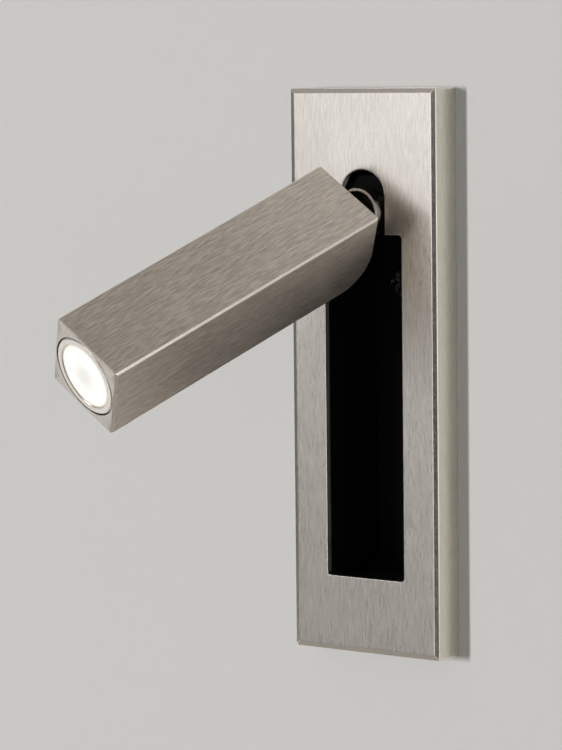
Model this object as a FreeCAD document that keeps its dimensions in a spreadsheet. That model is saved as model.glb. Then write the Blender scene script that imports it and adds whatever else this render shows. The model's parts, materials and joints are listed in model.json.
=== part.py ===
import FreeCAD, Part
import math
import os
import re
import Sketcher

# A recessed bedside reading lamp. X is to the right, Y goes into the wall, Z is up.
# The origin is the centre of the faceplate's back, on the wall. Lengths are in millimetres.
# The pieces stand as in use: folded out, swivelled to the side and tilted down.

SIZES = {
    # faceplate
    "margin_side": 11.7,
    "plate_depth": 10.0,
    "plate_skin": 2.0,
    "plate_wall": 2.0,
    "margin_low": 21.5,
    "margin_high": 22.9,
    "bevel_face": 1.5,
    "bevel_side": 0.45,
    "side_gap": 0.9,
    "fold_gap": 0.9,
    "slot_radius": 7.6,
    "slot_drop": 0.7,
    "corner_round": 1.0,
    # arm
    "arm_side": 24.8,
    "arm_length": 93.8,
    "arm_heel": 11.0,
    "arm_edge": 0.7,
    "tip_edge": 0.2,
    "arm_bore": 10.6,
    "heel_depth": 14.0,
    "bezel_bore": 11.6,
    "bezel_depth": 3.0,
    "bezel_gap": 0.1,
    "bezel_open": 9.4,
    "bezel_flare": 0.35,
    "bezel_land": 0.6,
    "bezel_lip": 0.25,
    "lens_inset": 1.0,
    "lens_dome": 0.5,
    "lens_gap": 0.1,
    "lens_skirt": 0.8,
    "lens_flange": 2.0,
    "lens_cone": 6.0,
    "lens_foot": 3.5,
    "holder_base": 1.5,
    "led_radius": 4.0,
    "led_height": 1.0,
    "led_board_thick": 1.6,
    "led_screw_head": 0.9,
    "led_thread": 4.0,
    "sink_length": 36.0,
    "sink_core": 6.5,
    "fin_end": 4.0,
    "fin_gap": 2.2,
    "fin_count": 8,
    "wire_way": 1.7,
    "wire_offset": 7.0,
    "lead_radius": 0.5,
    "lead_gap": 0.1,
    # tilt joint
    "pin_proud": 1.3,
    "pin_to_arm": 5.5,
    "tilt_pin_radius": 0.9,
    "tongue_radius": 2.3,
    "tongue_eye": 2.4,
    "tongue_half": 2.5,
    "tongue_hollow": 1.2,
    "tongue_tail": 4.5,
    "nut_height": 3.4,
    "nut_radius": 4.5,
    "spacer_radius": 1.9,
    # swivel
    "swivel_rise": 3.3,
    "collar_radius": 7.0,
    "collar_wall": 0.9,
    "collar_rim": 1.7,
    "collar_back": 4.3,
    "collar_floor": 1.4,
    "rim_edge": 0.25,
    "stem_radius": 2.4,
    "stem_hollow": 1.4,
    "stem_tail": 1.6,
    "stem_groove": 0.3,
    "washer_thick": 0.5,
    "washer_radius": 4.1,
    "ring_thick": 0.6,
    "ring_radius": 3.5,
    "stop_circle": 5.0,
    "stop_radius": 0.7,
    "stop_depth": 0.8,
    "stop_track": 0.15,
    "stop_rib": 6.7,
    # knuckle and flip joint
    "knuckle_half": 5.0,
    "knuckle_depth": 7.6,
    "knuckle_drop": 4.0,
    "barrel_radius": 6.3,
    "cam_lift": 0.8,
    "cam_half": 1.6,
    "cam_foot_angle": 82.0,
    "cam_top_angle": 74.0,
    "knuckle_edge": 1.0,
    "ring_room": 0.3,
    "flip_pin_radius": 1.25,
    "flip_washer": 0.3,
    "ear_thick": 1.5,
    "ear_radius": 3.8,
    "clip_thick": 0.6,
    "clip_radius": 2.4,
    "pin_tail": 0.7,
    "bracket_base": 1.5,
    # pocket liner
    "liner_wall": 1.5,
    "liner_step": 0.3,
    "pocket_clear": 1.0,
    "hinge_bay": 9.5,
    "bay_over": 0.6,
    "shelf_low": 2.9,
    "lug_width": 6.0,
    "lug_thick": 2.0,
    # back box and its fixings
    "box_wall": 1.2,
    "box_gap": 1.6,
    "box_gap_high": 0.3,
    "flange_thick": 1.2,
    "flange_gap": 0.2,
    "wall_screw_radius": 2.1,
    "wall_screw_edge": 6.5,
    "boss_radius": 2.4,
    "boss_length": 10.0,
    "boss_bite": 8.0,
    "cover_thick": 1.2,
    "clip_leaf": 0.4,
    "clip_width": 8.0,
    "clip_inset": 19.8,
    "inlet_radius": 3.0,
    "inlet_wall": 1.6,
    "inlet_lip": 1.8,
    "inlet_beyond": 7.1,
    # small screws
    "screw_radius": 1.0,
    "screw_head": 2.0,
    "head_height": 1.3,
    # driver
    "tray_half": 13.0,
    "tray_thick": 1.5,
    "post_height": 2.5,
    "post_bite": 2.0,
    "post_radius": 2.4,
    "board_thick": 1.6,
    "board_half": 12.5,
    "board_inset": 0.5,
    "board_drop": 19.0,
    "board_rim": 0.5,
    "tray_rim": 2.0,
    "recess_screw_side": 5.2,
    "recess_screw_low": 15.0,
    "recess_head": 4.2,
    "recess_head_height": 0.9,
    "part_gap": 0.8,
    "cover_room": 3.9,
    "block_half": 8.0,
    "block_side": 9.0,
    "way_pitch": 5.0,
    "way_rise": 3.5,
    "way_radius": 1.6,
    "way_depth": 6.0,
    "well_radius": 1.7,
    "clamp_length": 2.5,
    "core_half": 8.0,
    "core_tall": 13.0,
    "core_deep": 8.0,
    "core_leg": 2.5,
    "core_limb": 2.0,
    "bobbin_foot": 1.5,
    "bobbin_gap": 0.1,
    "can_side": 6.5,
    "can_radius": 4.5,
    "can_height": 14.0,
    "out_radius": 4.0,
    "out_height": 12.0,
    "choke_radius": 3.8,
    "choke_height": 9.0,
    "film_side": 8.0,
    "film_half": 4.5,
    "film_thick": 6.0,
    "film_height": 5.0,
    "bridge_side": 5.0,
    "bridge_height": 2.5,
    "chip_side": 1.5,
    "chip_wide": 4.0,
    "chip_long": 5.0,
    "chip_height": 1.6,
    "fuse_side": 9.5,
    "fuse_radius": 1.5,
    "fuse_length": 8.0,
    "lead_loop": 5.0,
    "grommet_proud": 0.8,
    # microswitch
    "switch_half": 6.4,
    "switch_front": 4.0,
    "switch_back": 1.8,
    "switch_gap": 1.2,
    "switch_tall": 6.5,
    "switch_room": 1.6,
    "switch_screw_length": 10.8,
    "plunger_radius": 0.8,
    "plunger_length": 4.4,
    "plunger_gap": 0.3,
    # clearances, how far a cutting shape runs past a face, and how far fused shapes overlap
    "run_clear": 0.05,
    "fit_clear": 0.02,
    "past": 1.0,
    "merge": 0.1,
    # how the lamp stands in use, in degrees
    "swivel_angle": 35.4,
    "tilt_angle": 30.0,
}

# Worked-out places, each from the sizes above. "pin" is the tilt pin, "fold" is the same pin
# when the arm lies in the recess, and "flip" is the pin that the knuckle folds about.
DERIVED = {
    "front": "-plate_depth",
    "skin_back": "plate_skin - plate_depth",
    "pin_y": "-plate_depth - pin_proud",
    "fold_y": "arm_side / 2 - plate_depth",
    "flip_y": "(fold_y + pin_y + swivel_rise) / 2",
    "flip_rise": "flip_y - pin_y",
    "run": "fold_gap + arm_length + pin_to_arm + flip_rise + slot_radius - slot_drop",
    "plate_half": "(margin_low + run + margin_high) / 2",
    "open_low": "margin_low - plate_half",
    "open_half": "arm_side / 2 + side_gap",
    "plate_width": "2 * (open_half + margin_side)",
    "fold_z": "open_low + fold_gap + arm_length + pin_to_arm",
    "open_high": "fold_z - pin_to_arm / 2",
    "swivel_z": "fold_z + swivel_rise",
    "flip_z": "fold_z + flip_rise",
    "slot_z": "flip_z - slot_drop",
    "floor_y": "arm_side - plate_depth + pocket_clear",
    "liner_back": "floor_y + liner_wall",
    "liner_half": "open_half + liner_step",
    "switch_low": "flip_z + barrel_radius + cam_lift + switch_gap",
    "switch_high": "switch_low + switch_tall",
    "shelf_z": "switch_low + shelf_low",
    "bay_top": "switch_high + bay_over",
    "lug_high": "open_high + liner_step + liner_wall - lug_width / 2",
    "flange_front": "-flange_thick",
    "box_half": "liner_half + liner_wall + box_gap",
    "box_high": "bay_top + liner_wall + box_gap_high",
    "plate_inner": "plate_width / 2 - plate_wall",
    "flange_half": "plate_inner - flange_gap",
    "flange_high": "plate_half - plate_wall - flange_gap",
    "wall_screw_z": "plate_half - wall_screw_edge",
    "clip_high": "flange_high - clip_inset",
    "clip_inner": "box_half + merge",
    "rivet_x": "(box_half + flange_half) / 2",
    "lug_x": "(box_half + box_wall + flange_half) / 2",
    "lug_end": "lug_x + screw_head",
    "ear_inner": "knuckle_half + flip_washer + run_clear",
    "ear_outer": "ear_inner + ear_thick",
    "knuckle_front": "pin_y + collar_back + washer_thick + 2 * run_clear",
    "housing_front": "knuckle_front - flip_y",
    "housing_back": "housing_front + knuckle_depth",
    "stem_z": "swivel_z - flip_z",
    "housing_low": "stem_z - knuckle_drop",
    "cam_radius": "barrel_radius + cam_lift",
    "switch_screw_z": "(shelf_z + switch_high) / 2",
    "plunger_low": "flip_z + barrel_radius + plunger_gap",
    "clip_start": "collar_back + washer_thick + 3 * run_clear + knuckle_depth",
    "stem_end": "clip_start + stem_tail",
    "pin_reach": "sqrt(collar_radius ^ 2 - tilt_pin_radius ^ 2) - rim_edge",
    "spacer_end": "sqrt((collar_radius - collar_wall) ^ 2 - spacer_radius ^ 2) - run_clear",
    "tray_back": "liner_back + tray_thick",
    "board_y": "tray_back + post_height",
    "parts_y": "board_y + board_thick",
    "box_depth": "parts_y + can_height + cover_room",
    "inlet_deep": "parts_y + inlet_beyond",
    "board_low": "open_low + board_inset",
    "board_high": "open_high - board_drop",
    "post_edge": "post_radius + board_rim",
    "block_low": "board_low + 2 * post_edge",
    "fuse_low": "block_low + block_side + part_gap",
    "can_z": "fuse_low + fuse_length + part_gap + can_radius",
    "out_z": "board_high - 2 * post_edge - out_radius",
    "core_top": "out_z - film_half - part_gap",
    "core_low": "core_top - core_tall",
    "lead_z": "out_z - film_half / 2",
    "lead_hole_z": "open_high + inlet_radius",
    "tip": "-pin_to_arm - arm_length",
    "rear": "-pin_to_arm",
    "seat": "tip + bezel_depth",
    "cone_end": "seat + lens_flange + lens_cone",
    "led_back": "cone_end + holder_base",
    "sink_front": "led_back + led_board_thick",
    "sink_back": "sink_front + sink_length",
    "fin_pitch": "(sink_length - fin_end) / fin_count",
    "inner_radius": "arm_bore - bezel_gap",
    "pin_hole": "tilt_pin_radius + run_clear",
}

doc = FreeCAD.newDocument("reading_lamp")
sheet = doc.addObject("Spreadsheet::Sheet", "sizes")
nodes = {}


def fill_sheet():
    """One row for each driving size: its name, its value and the alias that pieces use."""
    for row, (name, number) in enumerate(SIZES.items(), start=1):
        sheet.set("A%d" % row, name)
        sheet.set("B%d" % row, str(number))
        sheet.setAlias("B%d" % row, name)
    doc.recompute()


def bound(text):
    """An expression on the sheet, with every worked-out name written in full."""
    def swap(match):
        word = match.group()
        if word in DERIVED:
            return "(" + bound(DERIVED[word]) + ")"
        return "sizes." + word if word in SIZES else word
    return re.sub(r"[A-Za-z_]+", swap, str(text))


def value(text):
    """The number that an expression on the sheet has now."""
    return float(sheet.evalExpression(bound(text)))


def bind(thing, **settings):
    """Ties properties to the sheet. Base_x stands for Placement.Base.x."""
    for name, text in settings.items():
        path = name.replace("Base_", "Placement.Base.")
        thing.setExpression(path, bound(text))
    return thing


def add(kind, name, **links):
    thing = doc.addObject(kind, name)
    for link, target in links.items():
        setattr(thing, link, target)
    return thing


def block(name, x, y, z):
    """A box from low to high along each axis, given as pairs of expressions."""
    thing = add("Part::Box", name)
    spans = {"Length": x, "Width": y, "Height": z}
    for side, (low, high) in spans.items():
        bind(thing, **{side: "(%s) - (%s)" % (high, low)})
    return bind(thing, Base_x=x[0], Base_y=y[0], Base_z=z[0])


TURNS = {
    "x": FreeCAD.Rotation(FreeCAD.Vector(0, 1, 0), 90),
    "y": FreeCAD.Rotation(FreeCAD.Vector(1, 0, 0), -90),
    "z": FreeCAD.Rotation(),
}


def rod(name, axis, at, span, radius, kind="Part::Cylinder"):
    """A round bar along one axis; at gives its other two coordinates in X, Y, Z order."""
    thing = add(kind, name)
    thing.Placement.Rotation = TURNS[axis]
    size = "Circumradius" if kind == "Part::Prism" else "Radius"
    bind(thing, Height="(%s) - (%s)" % (span[1], span[0]), **{size: radius})
    places = list(at)
    places.insert("xyz".index(axis), span[0])
    return bind(thing, Base_x=places[0], Base_y=places[1], Base_z=places[2])


def fuse(name, *shapes):
    return add("Part::MultiFuse", name, Shapes=list(shapes))


def cut(name, base, *tools):
    tool = tools[0] if len(tools) == 1 else fuse(name + "_tools", *tools)
    return add("Part::Cut", name, Base=base, Tool=tool)


def tube(name, axis, at, span, outer, inner):
    return cut(name, rod(name + "_o", axis, at, span, outer),
               rod(name + "_i", axis, at, ("(%s) - past" % span[0], "(%s) + past" % span[1]), inner))


def node(name, *shapes, frame=None):
    """A named piece. Several shapes stay separate solids; frame places them as in use."""
    whole = shapes[0]
    if len(shapes) > 1 or (frame and not whole.isDerivedFrom("PartDesign::Body")):
        whole = add("Part::Compound", name + "_set", Links=list(shapes))
    if frame:
        whole.setExpression("Placement", bound(frame))
    whole.Label = name
    nodes[name] = whole
    return whole


# The frames of the moving pieces, which are drawn folded out, straight ahead and level.
FLIP_FRAME = "placement(vector(0; flip_y; flip_z); rotation(vector(1; 0; 0); 0))"
SWIVEL_FRAME = "placement(vector(0; pin_y; swivel_z); rotation(vector(0; 1; 0); swivel_angle))"
ARM_FRAME = ("placement(vector(0; pin_y; swivel_z); rotation(vector(0; 1; 0); swivel_angle)"
             " * rotation(vector(1; 0; 0); tilt_angle))")


def body(name):
    return doc.addObject("PartDesign::Body", name + "_body")


def sketch(owner, plane, offset=None):
    """A sketch on one of the body's own origin planes, moved along its normal by offset."""
    drawing = owner.newObject("Sketcher::SketchObject", owner.Name + "_sketch")
    support = [o for o in owner.Origin.OriginFeatures if o.Role == plane + "_Plane"][0]
    drawing.AttachmentSupport = [(support, "")]
    drawing.MapMode = "FlatFace"
    if offset:
        drawing.setExpression("AttachmentOffset.Base.z", bound(offset))
    return drawing


def pin_point(drawing, edge, end, u, v):
    """Holds one end of an edge at a place given by two expressions."""
    for kind, text in (("DistanceX", u), ("DistanceY", v)):
        index = drawing.addConstraint(Sketcher.Constraint(kind, edge, end, value(text)))
        drawing.setExpression("Constraints[%d]" % index, bound(text))


def polygon(drawing, points):
    """A closed outline of straight edges through points given as pairs of expressions."""
    places = [FreeCAD.Vector(value(u), value(v), 0) for u, v in points]
    first = drawing.GeometryCount
    count = len(points)
    for i in range(count):
        drawing.addGeometry(Part.LineSegment(places[i], places[(i + 1) % count]))
    for i in range(count):
        drawing.addConstraint(Sketcher.Constraint("Coincident", first + i, 2, first + (i + 1) % count, 1))
        pin_point(drawing, first + i, 1, *points[i])
    return drawing


def rectangle(drawing, u, v):
    return polygon(drawing, [(u[0], v[0]), (u[1], v[0]), (u[1], v[1]), (u[0], v[1])])


def circle(drawing, u, v, radius):
    centre = FreeCAD.Vector(value(u), value(v), 0)
    edge = drawing.addGeometry(Part.Circle(centre, FreeCAD.Vector(0, 0, 1), value(radius)))
    pin_point(drawing, edge, 3, u, v)
    index = drawing.addConstraint(Sketcher.Constraint("Radius", edge, value(radius)))
    drawing.setExpression("Constraints[%d]" % index, bound(radius))
    return drawing


def pad(owner, drawing, length, midplane=False, backwards=False):
    step = owner.newObject("PartDesign::Pad", owner.Name + "_pad")
    step.Profile = drawing
    step.Midplane = midplane
    step.Reversed = backwards
    step.setExpression("Length", bound(length))
    return step


def pocket(owner, drawing, length, midplane=False, backwards=False):
    step = owner.newObject("PartDesign::Pocket", owner.Name + "_pocket")
    step.Profile = drawing
    step.Midplane = midplane
    step.Reversed = backwards
    step.setExpression("Length", bound(length))
    return step


def revolve(owner, drawing, kind="PartDesign::Revolution"):
    """Turns a profile about the sketch's upright axis."""
    step = owner.newObject(kind, owner.Name + "_turn")
    step.Profile = drawing
    step.ReferenceAxis = (drawing, ["V_Axis"])
    step.Angle = 360
    return step


def edges_where(step, test):
    """Names of a feature's edges that pass a test."""
    doc.recompute()
    return ["Edge%d" % (i + 1) for i, edge in enumerate(step.Shape.Edges) if test(edge)]


def ends(edge, axis):
    return [getattr(vertex.Point, axis) for vertex in edge.Vertexes]


def near(a, b, tolerance=1e-4):
    return abs(a - b) < tolerance


def round_edges(owner, step, names, radius):
    rounding = owner.newObject("PartDesign::Fillet", owner.Name + "_round")
    rounding.Base = (step, names)
    rounding.setExpression("Radius", bound(radius))
    return rounding


def bevel_edges(owner, step, names, size, second=None):
    bevel = owner.newObject("PartDesign::Chamfer", owner.Name + "_bevel")
    bevel.Base = (step, names)
    bevel.setExpression("Size", bound(size))
    if second:
        bevel.ChamferType = "Two distances"
        bevel.setExpression("Size2", bound(second))
    return bevel


def sides(low, high):
    """The same span on the right and on the left."""
    return (("r", low, high), ("l", "-(%s)" % high, "-(%s)" % low))


def screw(name, at, face, length, head="screw_head", height="head_height", way=1):
    """A pan-head screw along Y; way is 1 when it goes into the wall, from its head's seat."""
    top = "(%s) - %d * (%s)" % (face, way, height)
    end = "(%s) + %d * (%s)" % (face, way, length)
    head_span = (top, face) if way > 0 else (face, top)
    body_span = (top, end) if way > 0 else (end, top)
    return fuse(name, rod(name + "_h", "y", at, head_span, head),
                rod(name + "_s", "y", at, body_span, "screw_radius"))


# ---- faceplate -------------------------------------------------------------------------------

def faceplate():
    """A cast cover with a bevelled rim, hollow behind, with the keyhole that the arm folds into."""
    owner = body("faceplate")
    slab = pad(owner, rectangle(sketch(owner, "XZ"), ("-plate_width / 2", "plate_width / 2"),
                                ("-plate_half", "plate_half")), "plate_depth")
    front = value("front")
    rim = edges_where(slab, lambda e: all(near(y, front) for y in ends(e, "y")))
    slab = bevel_edges(owner, slab, rim, "bevel_side", "bevel_face")
    opening = rectangle(sketch(owner, "XZ"), ("-open_half", "open_half"), ("open_low", "open_high"))
    slab = pocket(owner, opening, "plate_depth * 2", midplane=True)
    half = value("open_half")
    corners = edges_where(slab, lambda e: all(near(abs(x), half) for x in ends(e, "x"))
                          and not near(ends(e, "y")[0], ends(e, "y")[-1]))
    round_edges(owner, slab, corners, "corner_round")
    slot = rectangle(sketch(owner, "XZ"), ("-slot_radius", "slot_radius"),
                     ("open_high - corner_round", "slot_z"))
    pocket(owner, slot, "plate_depth * 2", midplane=True)
    pocket(owner, circle(sketch(owner, "XZ"), "0", "slot_z", "slot_radius"),
           "plate_depth * 2", midplane=True)
    hollow = rectangle(sketch(owner, "XZ"), ("plate_wall - plate_width / 2", "plate_width / 2 - plate_wall"),
                       ("plate_wall - plate_half", "plate_half - plate_wall"))
    pocket(owner, hollow, "plate_depth - plate_skin", backwards=True)
    node("faceplate", owner)


# ---- back box and fixings --------------------------------------------------------------

def back_box():
    """A pressed steel box with a flange that sits on the wall; its rear is closed by the cover."""
    wide = ("-box_half - box_wall", "box_half + box_wall")
    tall = ("-box_high - box_wall", "box_high + box_wall")
    shell = block("box_shell", wide, ("flange_front", "box_depth"), tall)
    flange = block("box_flange", ("-flange_half", "flange_half"), ("flange_front", "0"),
                   ("-flange_high", "flange_high"))
    inside = block("box_inside", ("-box_half", "box_half"), ("flange_front - past", "box_depth + past"),
                   ("-box_high", "box_high"))
    holes = [rod("box_inlet", "z", ("0", "inlet_deep"), ("-box_high - box_wall - past", "past - box_high"),
                 "inlet_radius + inlet_wall")]
    bosses = []
    for right in (1, -1):
        for up in (1, -1):
            tag = "box_%d_%d" % (right + 1, up + 1)
            at = ("%d * (box_half - boss_radius + fit_clear)" % right,
                  "%d * (box_high - boss_radius + fit_clear)" % up)
            span = ("box_depth - boss_length", "box_depth")
            bosses.append(tube(tag + "_boss", "y", at, span, "boss_radius", "screw_radius + fit_clear"))
            holes.append(rod(tag + "_lug", "y", ("%d * lug_x" % right, "%d * lug_high" % up),
                             ("flange_front - past", "past"), "screw_radius + fit_clear"))
            holes.append(rod(tag + "_rivet", "y", ("%d * rivet_x" % right, "%d * clip_high" % up),
                             ("flange_front - past", "past"), "screw_radius + fit_clear"))
    for up in (1, -1):
        holes.append(rod("box_screw_%d" % (up + 1), "y", ("0", "%d * wall_screw_z" % up),
                         ("flange_front - past", "past"), "wall_screw_radius"))
    hollow = cut("box_hollow", fuse("box_outside", shell, flange), inside, *holes)
    node("back_box", fuse("box_whole", hollow, *bosses))


def cover_clips():
    """Four sprung leaves on the flange that grip the faceplate from inside, and their rivets."""
    clips = []
    rivets = []
    tip = "skin_back + flange_thick"
    leaf = {side: (low, high) for side, low, high in sides("flange_half - clip_leaf", "flange_half")}
    grip = {side: (low, high)
            for side, low, high in sides("flange_half - clip_leaf", "plate_inner - run_clear")}
    for side, low, high in sides("clip_inner", "flange_half"):
        sign = 1 if side == "r" else -1
        for up in (1, -1):
            tag = "clip_%s%d" % (side, up + 1)
            z = ("%d * clip_high - clip_width / 2" % up, "%d * clip_high + clip_width / 2" % up)
            foot = block(tag + "_base", (low, high), ("flange_front - clip_leaf", "flange_front"), z)
            upright = block(tag + "_leaf", leaf[side], (tip, "flange_front"), z)
            bump = block(tag + "_bump", grip[side], (tip, tip + " + flange_thick"), z)
            at = ("%d * rivet_x" % sign, "%d * clip_high" % up)
            hole = rod(tag + "_hole", "y", at, ("flange_front - 2 * past", "past"),
                       "screw_radius + fit_clear")
            clips.append(cut(tag, fuse(tag + "_all", foot, upright, bump), hole))
            rivets.append(screw(tag + "_rivet", at, "flange_front - clip_leaf",
                                "clip_leaf + flange_thick", "screw_head", "head_height / 2"))
    node("cover_clips", *clips)
    node("clip_rivets", *rivets)


def box_cover():
    """The rear lid and the four screws that hold it to the box's corner bosses."""
    lid = block("lid", ("-box_half - box_wall", "box_half + box_wall"),
                ("box_depth", "box_depth + cover_thick"), ("-box_high - box_wall", "box_high + box_wall"))
    holes = []
    screws = []
    for right in (1, -1):
        for up in (1, -1):
            tag = "lid_%d_%d" % (right + 1, up + 1)
            at = ("%d * (box_half - boss_radius + fit_clear)" % right,
                  "%d * (box_high - boss_radius + fit_clear)" % up)
            holes.append(rod(tag + "_hole", "y", at, ("box_depth - past", "box_depth + cover_thick + past"),
                             "screw_radius + fit_clear"))
            screws.append(screw(tag + "_screw", at, "box_depth + cover_thick",
                                "cover_thick + boss_bite", way=-1))
    node("box_cover", cut("lid_holed", lid, *holes))
    node("cover_screws", *screws)


def cable_grommet():
    """A rubber grommet in the box's floor, where the mains lead comes in."""
    owner = body("cable_grommet")
    lip = "inlet_radius + inlet_wall + inlet_lip"
    neck = "inlet_radius + inlet_wall - fit_clear"
    low = "-inlet_lip"
    top = "box_wall"
    profile = [("inlet_radius", low), (lip, low), (lip, "0"), (neck, "0"), (neck, top), (lip, top),
               (lip, "box_wall + inlet_lip"), ("inlet_radius", "box_wall + inlet_lip")]
    revolve(owner, polygon(sketch(owner, "XZ"), profile))
    node("cable_grommet", owner,
         frame="placement(vector(0; inlet_deep; -box_high - box_wall); rotation(vector(0; 0; 1); 0))")


# ---- pocket liner --------------------------------------------------------------------------------

def pocket_liner():
    """The black moulding behind the keyhole: the recess, the hinge bay over it, and its lugs."""
    low = "open_low - liner_step"
    high = "open_high + liner_step"
    outer = [block("liner_recess", ("-liner_half - liner_wall", "liner_half + liner_wall"),
                   ("skin_back", "liner_back"), (low + " - liner_wall", high + " + liner_wall")),
             block("liner_bay", ("-hinge_bay - liner_wall", "hinge_bay + liner_wall"),
                   ("skin_back", "liner_back"), ("open_high", "bay_top + liner_wall"))]
    inner = [block("recess_room", ("-liner_half", "liner_half"), ("skin_back - past", "floor_y"),
                   (low, high)),
             block("bay_room", ("-hinge_bay", "hinge_bay"), ("skin_back - past", "floor_y"),
                   ("open_high", "bay_top"))]
    lugs = []
    holes = [rod("liner_lead_hole", "y", ("0", "lead_hole_z"),
                 ("floor_y - past", "liner_back + past"), "post_radius + fit_clear")]
    for right, low_x, high_x in sides("liner_half + liner_wall - merge", "lug_end"):
        sign = 1 if right == "r" else -1
        for up in (1, -1):
            tag = "liner_%s%d" % (right, up + 1)
            lugs.append(block(tag + "_lug", (low_x, high_x), ("flange_front - lug_thick", "flange_front"),
                              ("%d * lug_high - lug_width / 2" % up, "%d * lug_high + lug_width / 2" % up)))
            holes.append(rod(tag + "_hole", "y", ("%d * lug_x" % sign, "%d * lug_high" % up),
                             ("flange_front - lug_thick - past", "flange_front + past"),
                             "screw_radius + fit_clear"))
        holes.append(rod("liner_tray_hole_" + right, "y", ("%d * recess_screw_side" % sign,
                                                           "open_high - recess_screw_low"),
                         ("floor_y - past", "liner_back + past"), "screw_radius + fit_clear"))
        holes.append(rod("liner_bracket_hole_" + right, "y", ("%d * ear_inner / 2" % sign, "flip_z"),
                         ("floor_y - past", "liner_back + past"), "screw_radius + fit_clear"))
        holes.append(rod("liner_shelf_hole_" + right, "y", ("%d * switch_half / 2" % sign, "switch_screw_z"),
                         ("flip_y", "flip_y - switch_front + switch_screw_length + past"),
                         "screw_radius + fit_clear"))
    shell = cut("liner_shell", fuse("liner_outside", *outer), fuse("liner_room", *inner))
    shelf = block("liner_shelf", ("-switch_half", "switch_half"),
                  ("flip_y + switch_back", "floor_y + merge"), ("shelf_z", "bay_top + merge"))
    node("pocket_liner", cut("liner_whole", fuse("liner_all", shell, shelf, *lugs), *holes))


def liner_screws():
    """Four screws hold the liner's lugs to the box flange."""
    screws = []
    for right in (1, -1):
        for up in (1, -1):
            at = ("%d * lug_x" % right, "%d * lug_high" % up)
            screws.append(screw("lug_screw_%d_%d" % (right + 1, up + 1), at, "flange_front - lug_thick",
                                "lug_thick + flange_thick"))
    node("liner_screws", *screws)


# ---- hinge bay: bracket, flip pin, switch -----------------------------------------------------------

def hinge_bracket():
    """A steel U on the bay's rear wall; its two ears carry the flip pin."""
    base = block("bracket_base", ("-ear_outer", "ear_outer"), ("floor_y - bracket_base", "floor_y"),
                 ("flip_z - ear_radius", "flip_z + ear_radius"))
    ears = []
    holes = []
    for right, low, high in sides("ear_inner", "ear_outer"):
        ears.append(block("ear_arm_" + right, (low, high), ("flip_y", "floor_y"),
                          ("flip_z - ear_radius", "flip_z + ear_radius")))
        ears.append(rod("ear_eye_" + right, "x", ("flip_y", "flip_z"), (low, high), "ear_radius"))
        sign = 1 if right == "r" else -1
        holes.append(rod("bracket_hole_" + right, "y", ("%d * ear_inner / 2" % sign, "flip_z"),
                         ("floor_y - bracket_base - past", "floor_y + past"), "screw_radius + fit_clear"))
    holes.append(rod("bracket_pin_hole", "x", ("flip_y", "flip_z"),
                     ("-ear_outer - past", "ear_outer + past"), "flip_pin_radius + fit_clear"))
    node("hinge_bracket", cut("bracket_whole", fuse("bracket_all", base, *ears), *holes))


def bracket_fixings():
    """Two screws through the bracket and the liner, each with a nut behind."""
    screws = []
    nuts = []
    for right in (1, -1):
        at = ("%d * ear_inner / 2" % right, "flip_z")
        screws.append(screw("bracket_screw_%d" % (right + 1), at, "floor_y - bracket_base",
                            "bracket_base + liner_wall + 3 * screw_radius"))
        nut = rod("bracket_nut_%d" % (right + 1), "y", at,
                  ("liner_back", "liner_back + 2 * screw_radius"), "screw_head + fit_clear", "Part::Prism")
        bore = rod("nut_bore_%d" % (right + 1), "y", at,
                   ("liner_back - past", "liner_back + 3 * screw_radius"), "screw_radius + fit_clear")
        nuts.append(cut("nut_%d" % (right + 1), nut, bore))
    node("bracket_screws", *screws)
    node("bracket_nuts", *nuts)


def flip_pin():
    """The hinge pin of the fold, its two clips, and the washers beside the knuckle."""
    end = "ear_outer + run_clear + clip_thick + pin_tail"
    node("flip_pin", rod("flip_rod", "x", ("flip_y", "flip_z"), ("-(%s)" % end, end), "flip_pin_radius"))
    clips = []
    washers = []
    for right, low, high in sides("ear_outer + run_clear", "ear_outer + run_clear + clip_thick"):
        clips.append(tube("pin_clip_" + right, "x", ("flip_y", "flip_z"), (low, high),
                          "clip_radius", "flip_pin_radius + fit_clear"))
    for right, low, high in sides("knuckle_half + run_clear", "ear_inner"):
        washers.append(tube("knuckle_washer_" + right, "x", ("flip_y", "flip_z"), (low, high),
                            "ear_radius", "flip_pin_radius + fit_clear"))
    node("pin_clips", *clips)
    node("knuckle_washers", *washers)


def microswitch():
    """The switch over the knuckle, which lights the lamp once the arm is folded out."""
    case = block("switch_case", ("-switch_half", "switch_half"),
                 ("flip_y - switch_front", "flip_y + switch_back"), ("switch_low", "switch_high"))
    holes = [rod("switch_bore", "z", ("0", "flip_y"),
                 ("switch_low - past", "plunger_low + plunger_length + switch_room"),
                 "plunger_radius + run_clear")]
    screws = []
    for right in (1, -1):
        at = ("%d * switch_half / 2" % right, "switch_screw_z")
        holes.append(rod("switch_hole_%d" % (right + 1), "y", at,
                         ("flip_y - switch_front - past", "flip_y + switch_back + past"),
                         "screw_radius + fit_clear"))
        screws.append(screw("switch_screw_%d" % (right + 1), at, "flip_y - switch_front",
                            "switch_screw_length", "screw_head - run_clear", "led_screw_head"))
    node("switch_body", cut("switch_whole", case, *holes))
    node("switch_screws", *screws)
    node("switch_plunger", rod("plunger_rod", "z", ("0", "flip_y"),
                               ("plunger_low", "plunger_low + plunger_length"), "plunger_radius"))


# ---- knuckle ---------------------------------------------------------------------------------------

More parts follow.
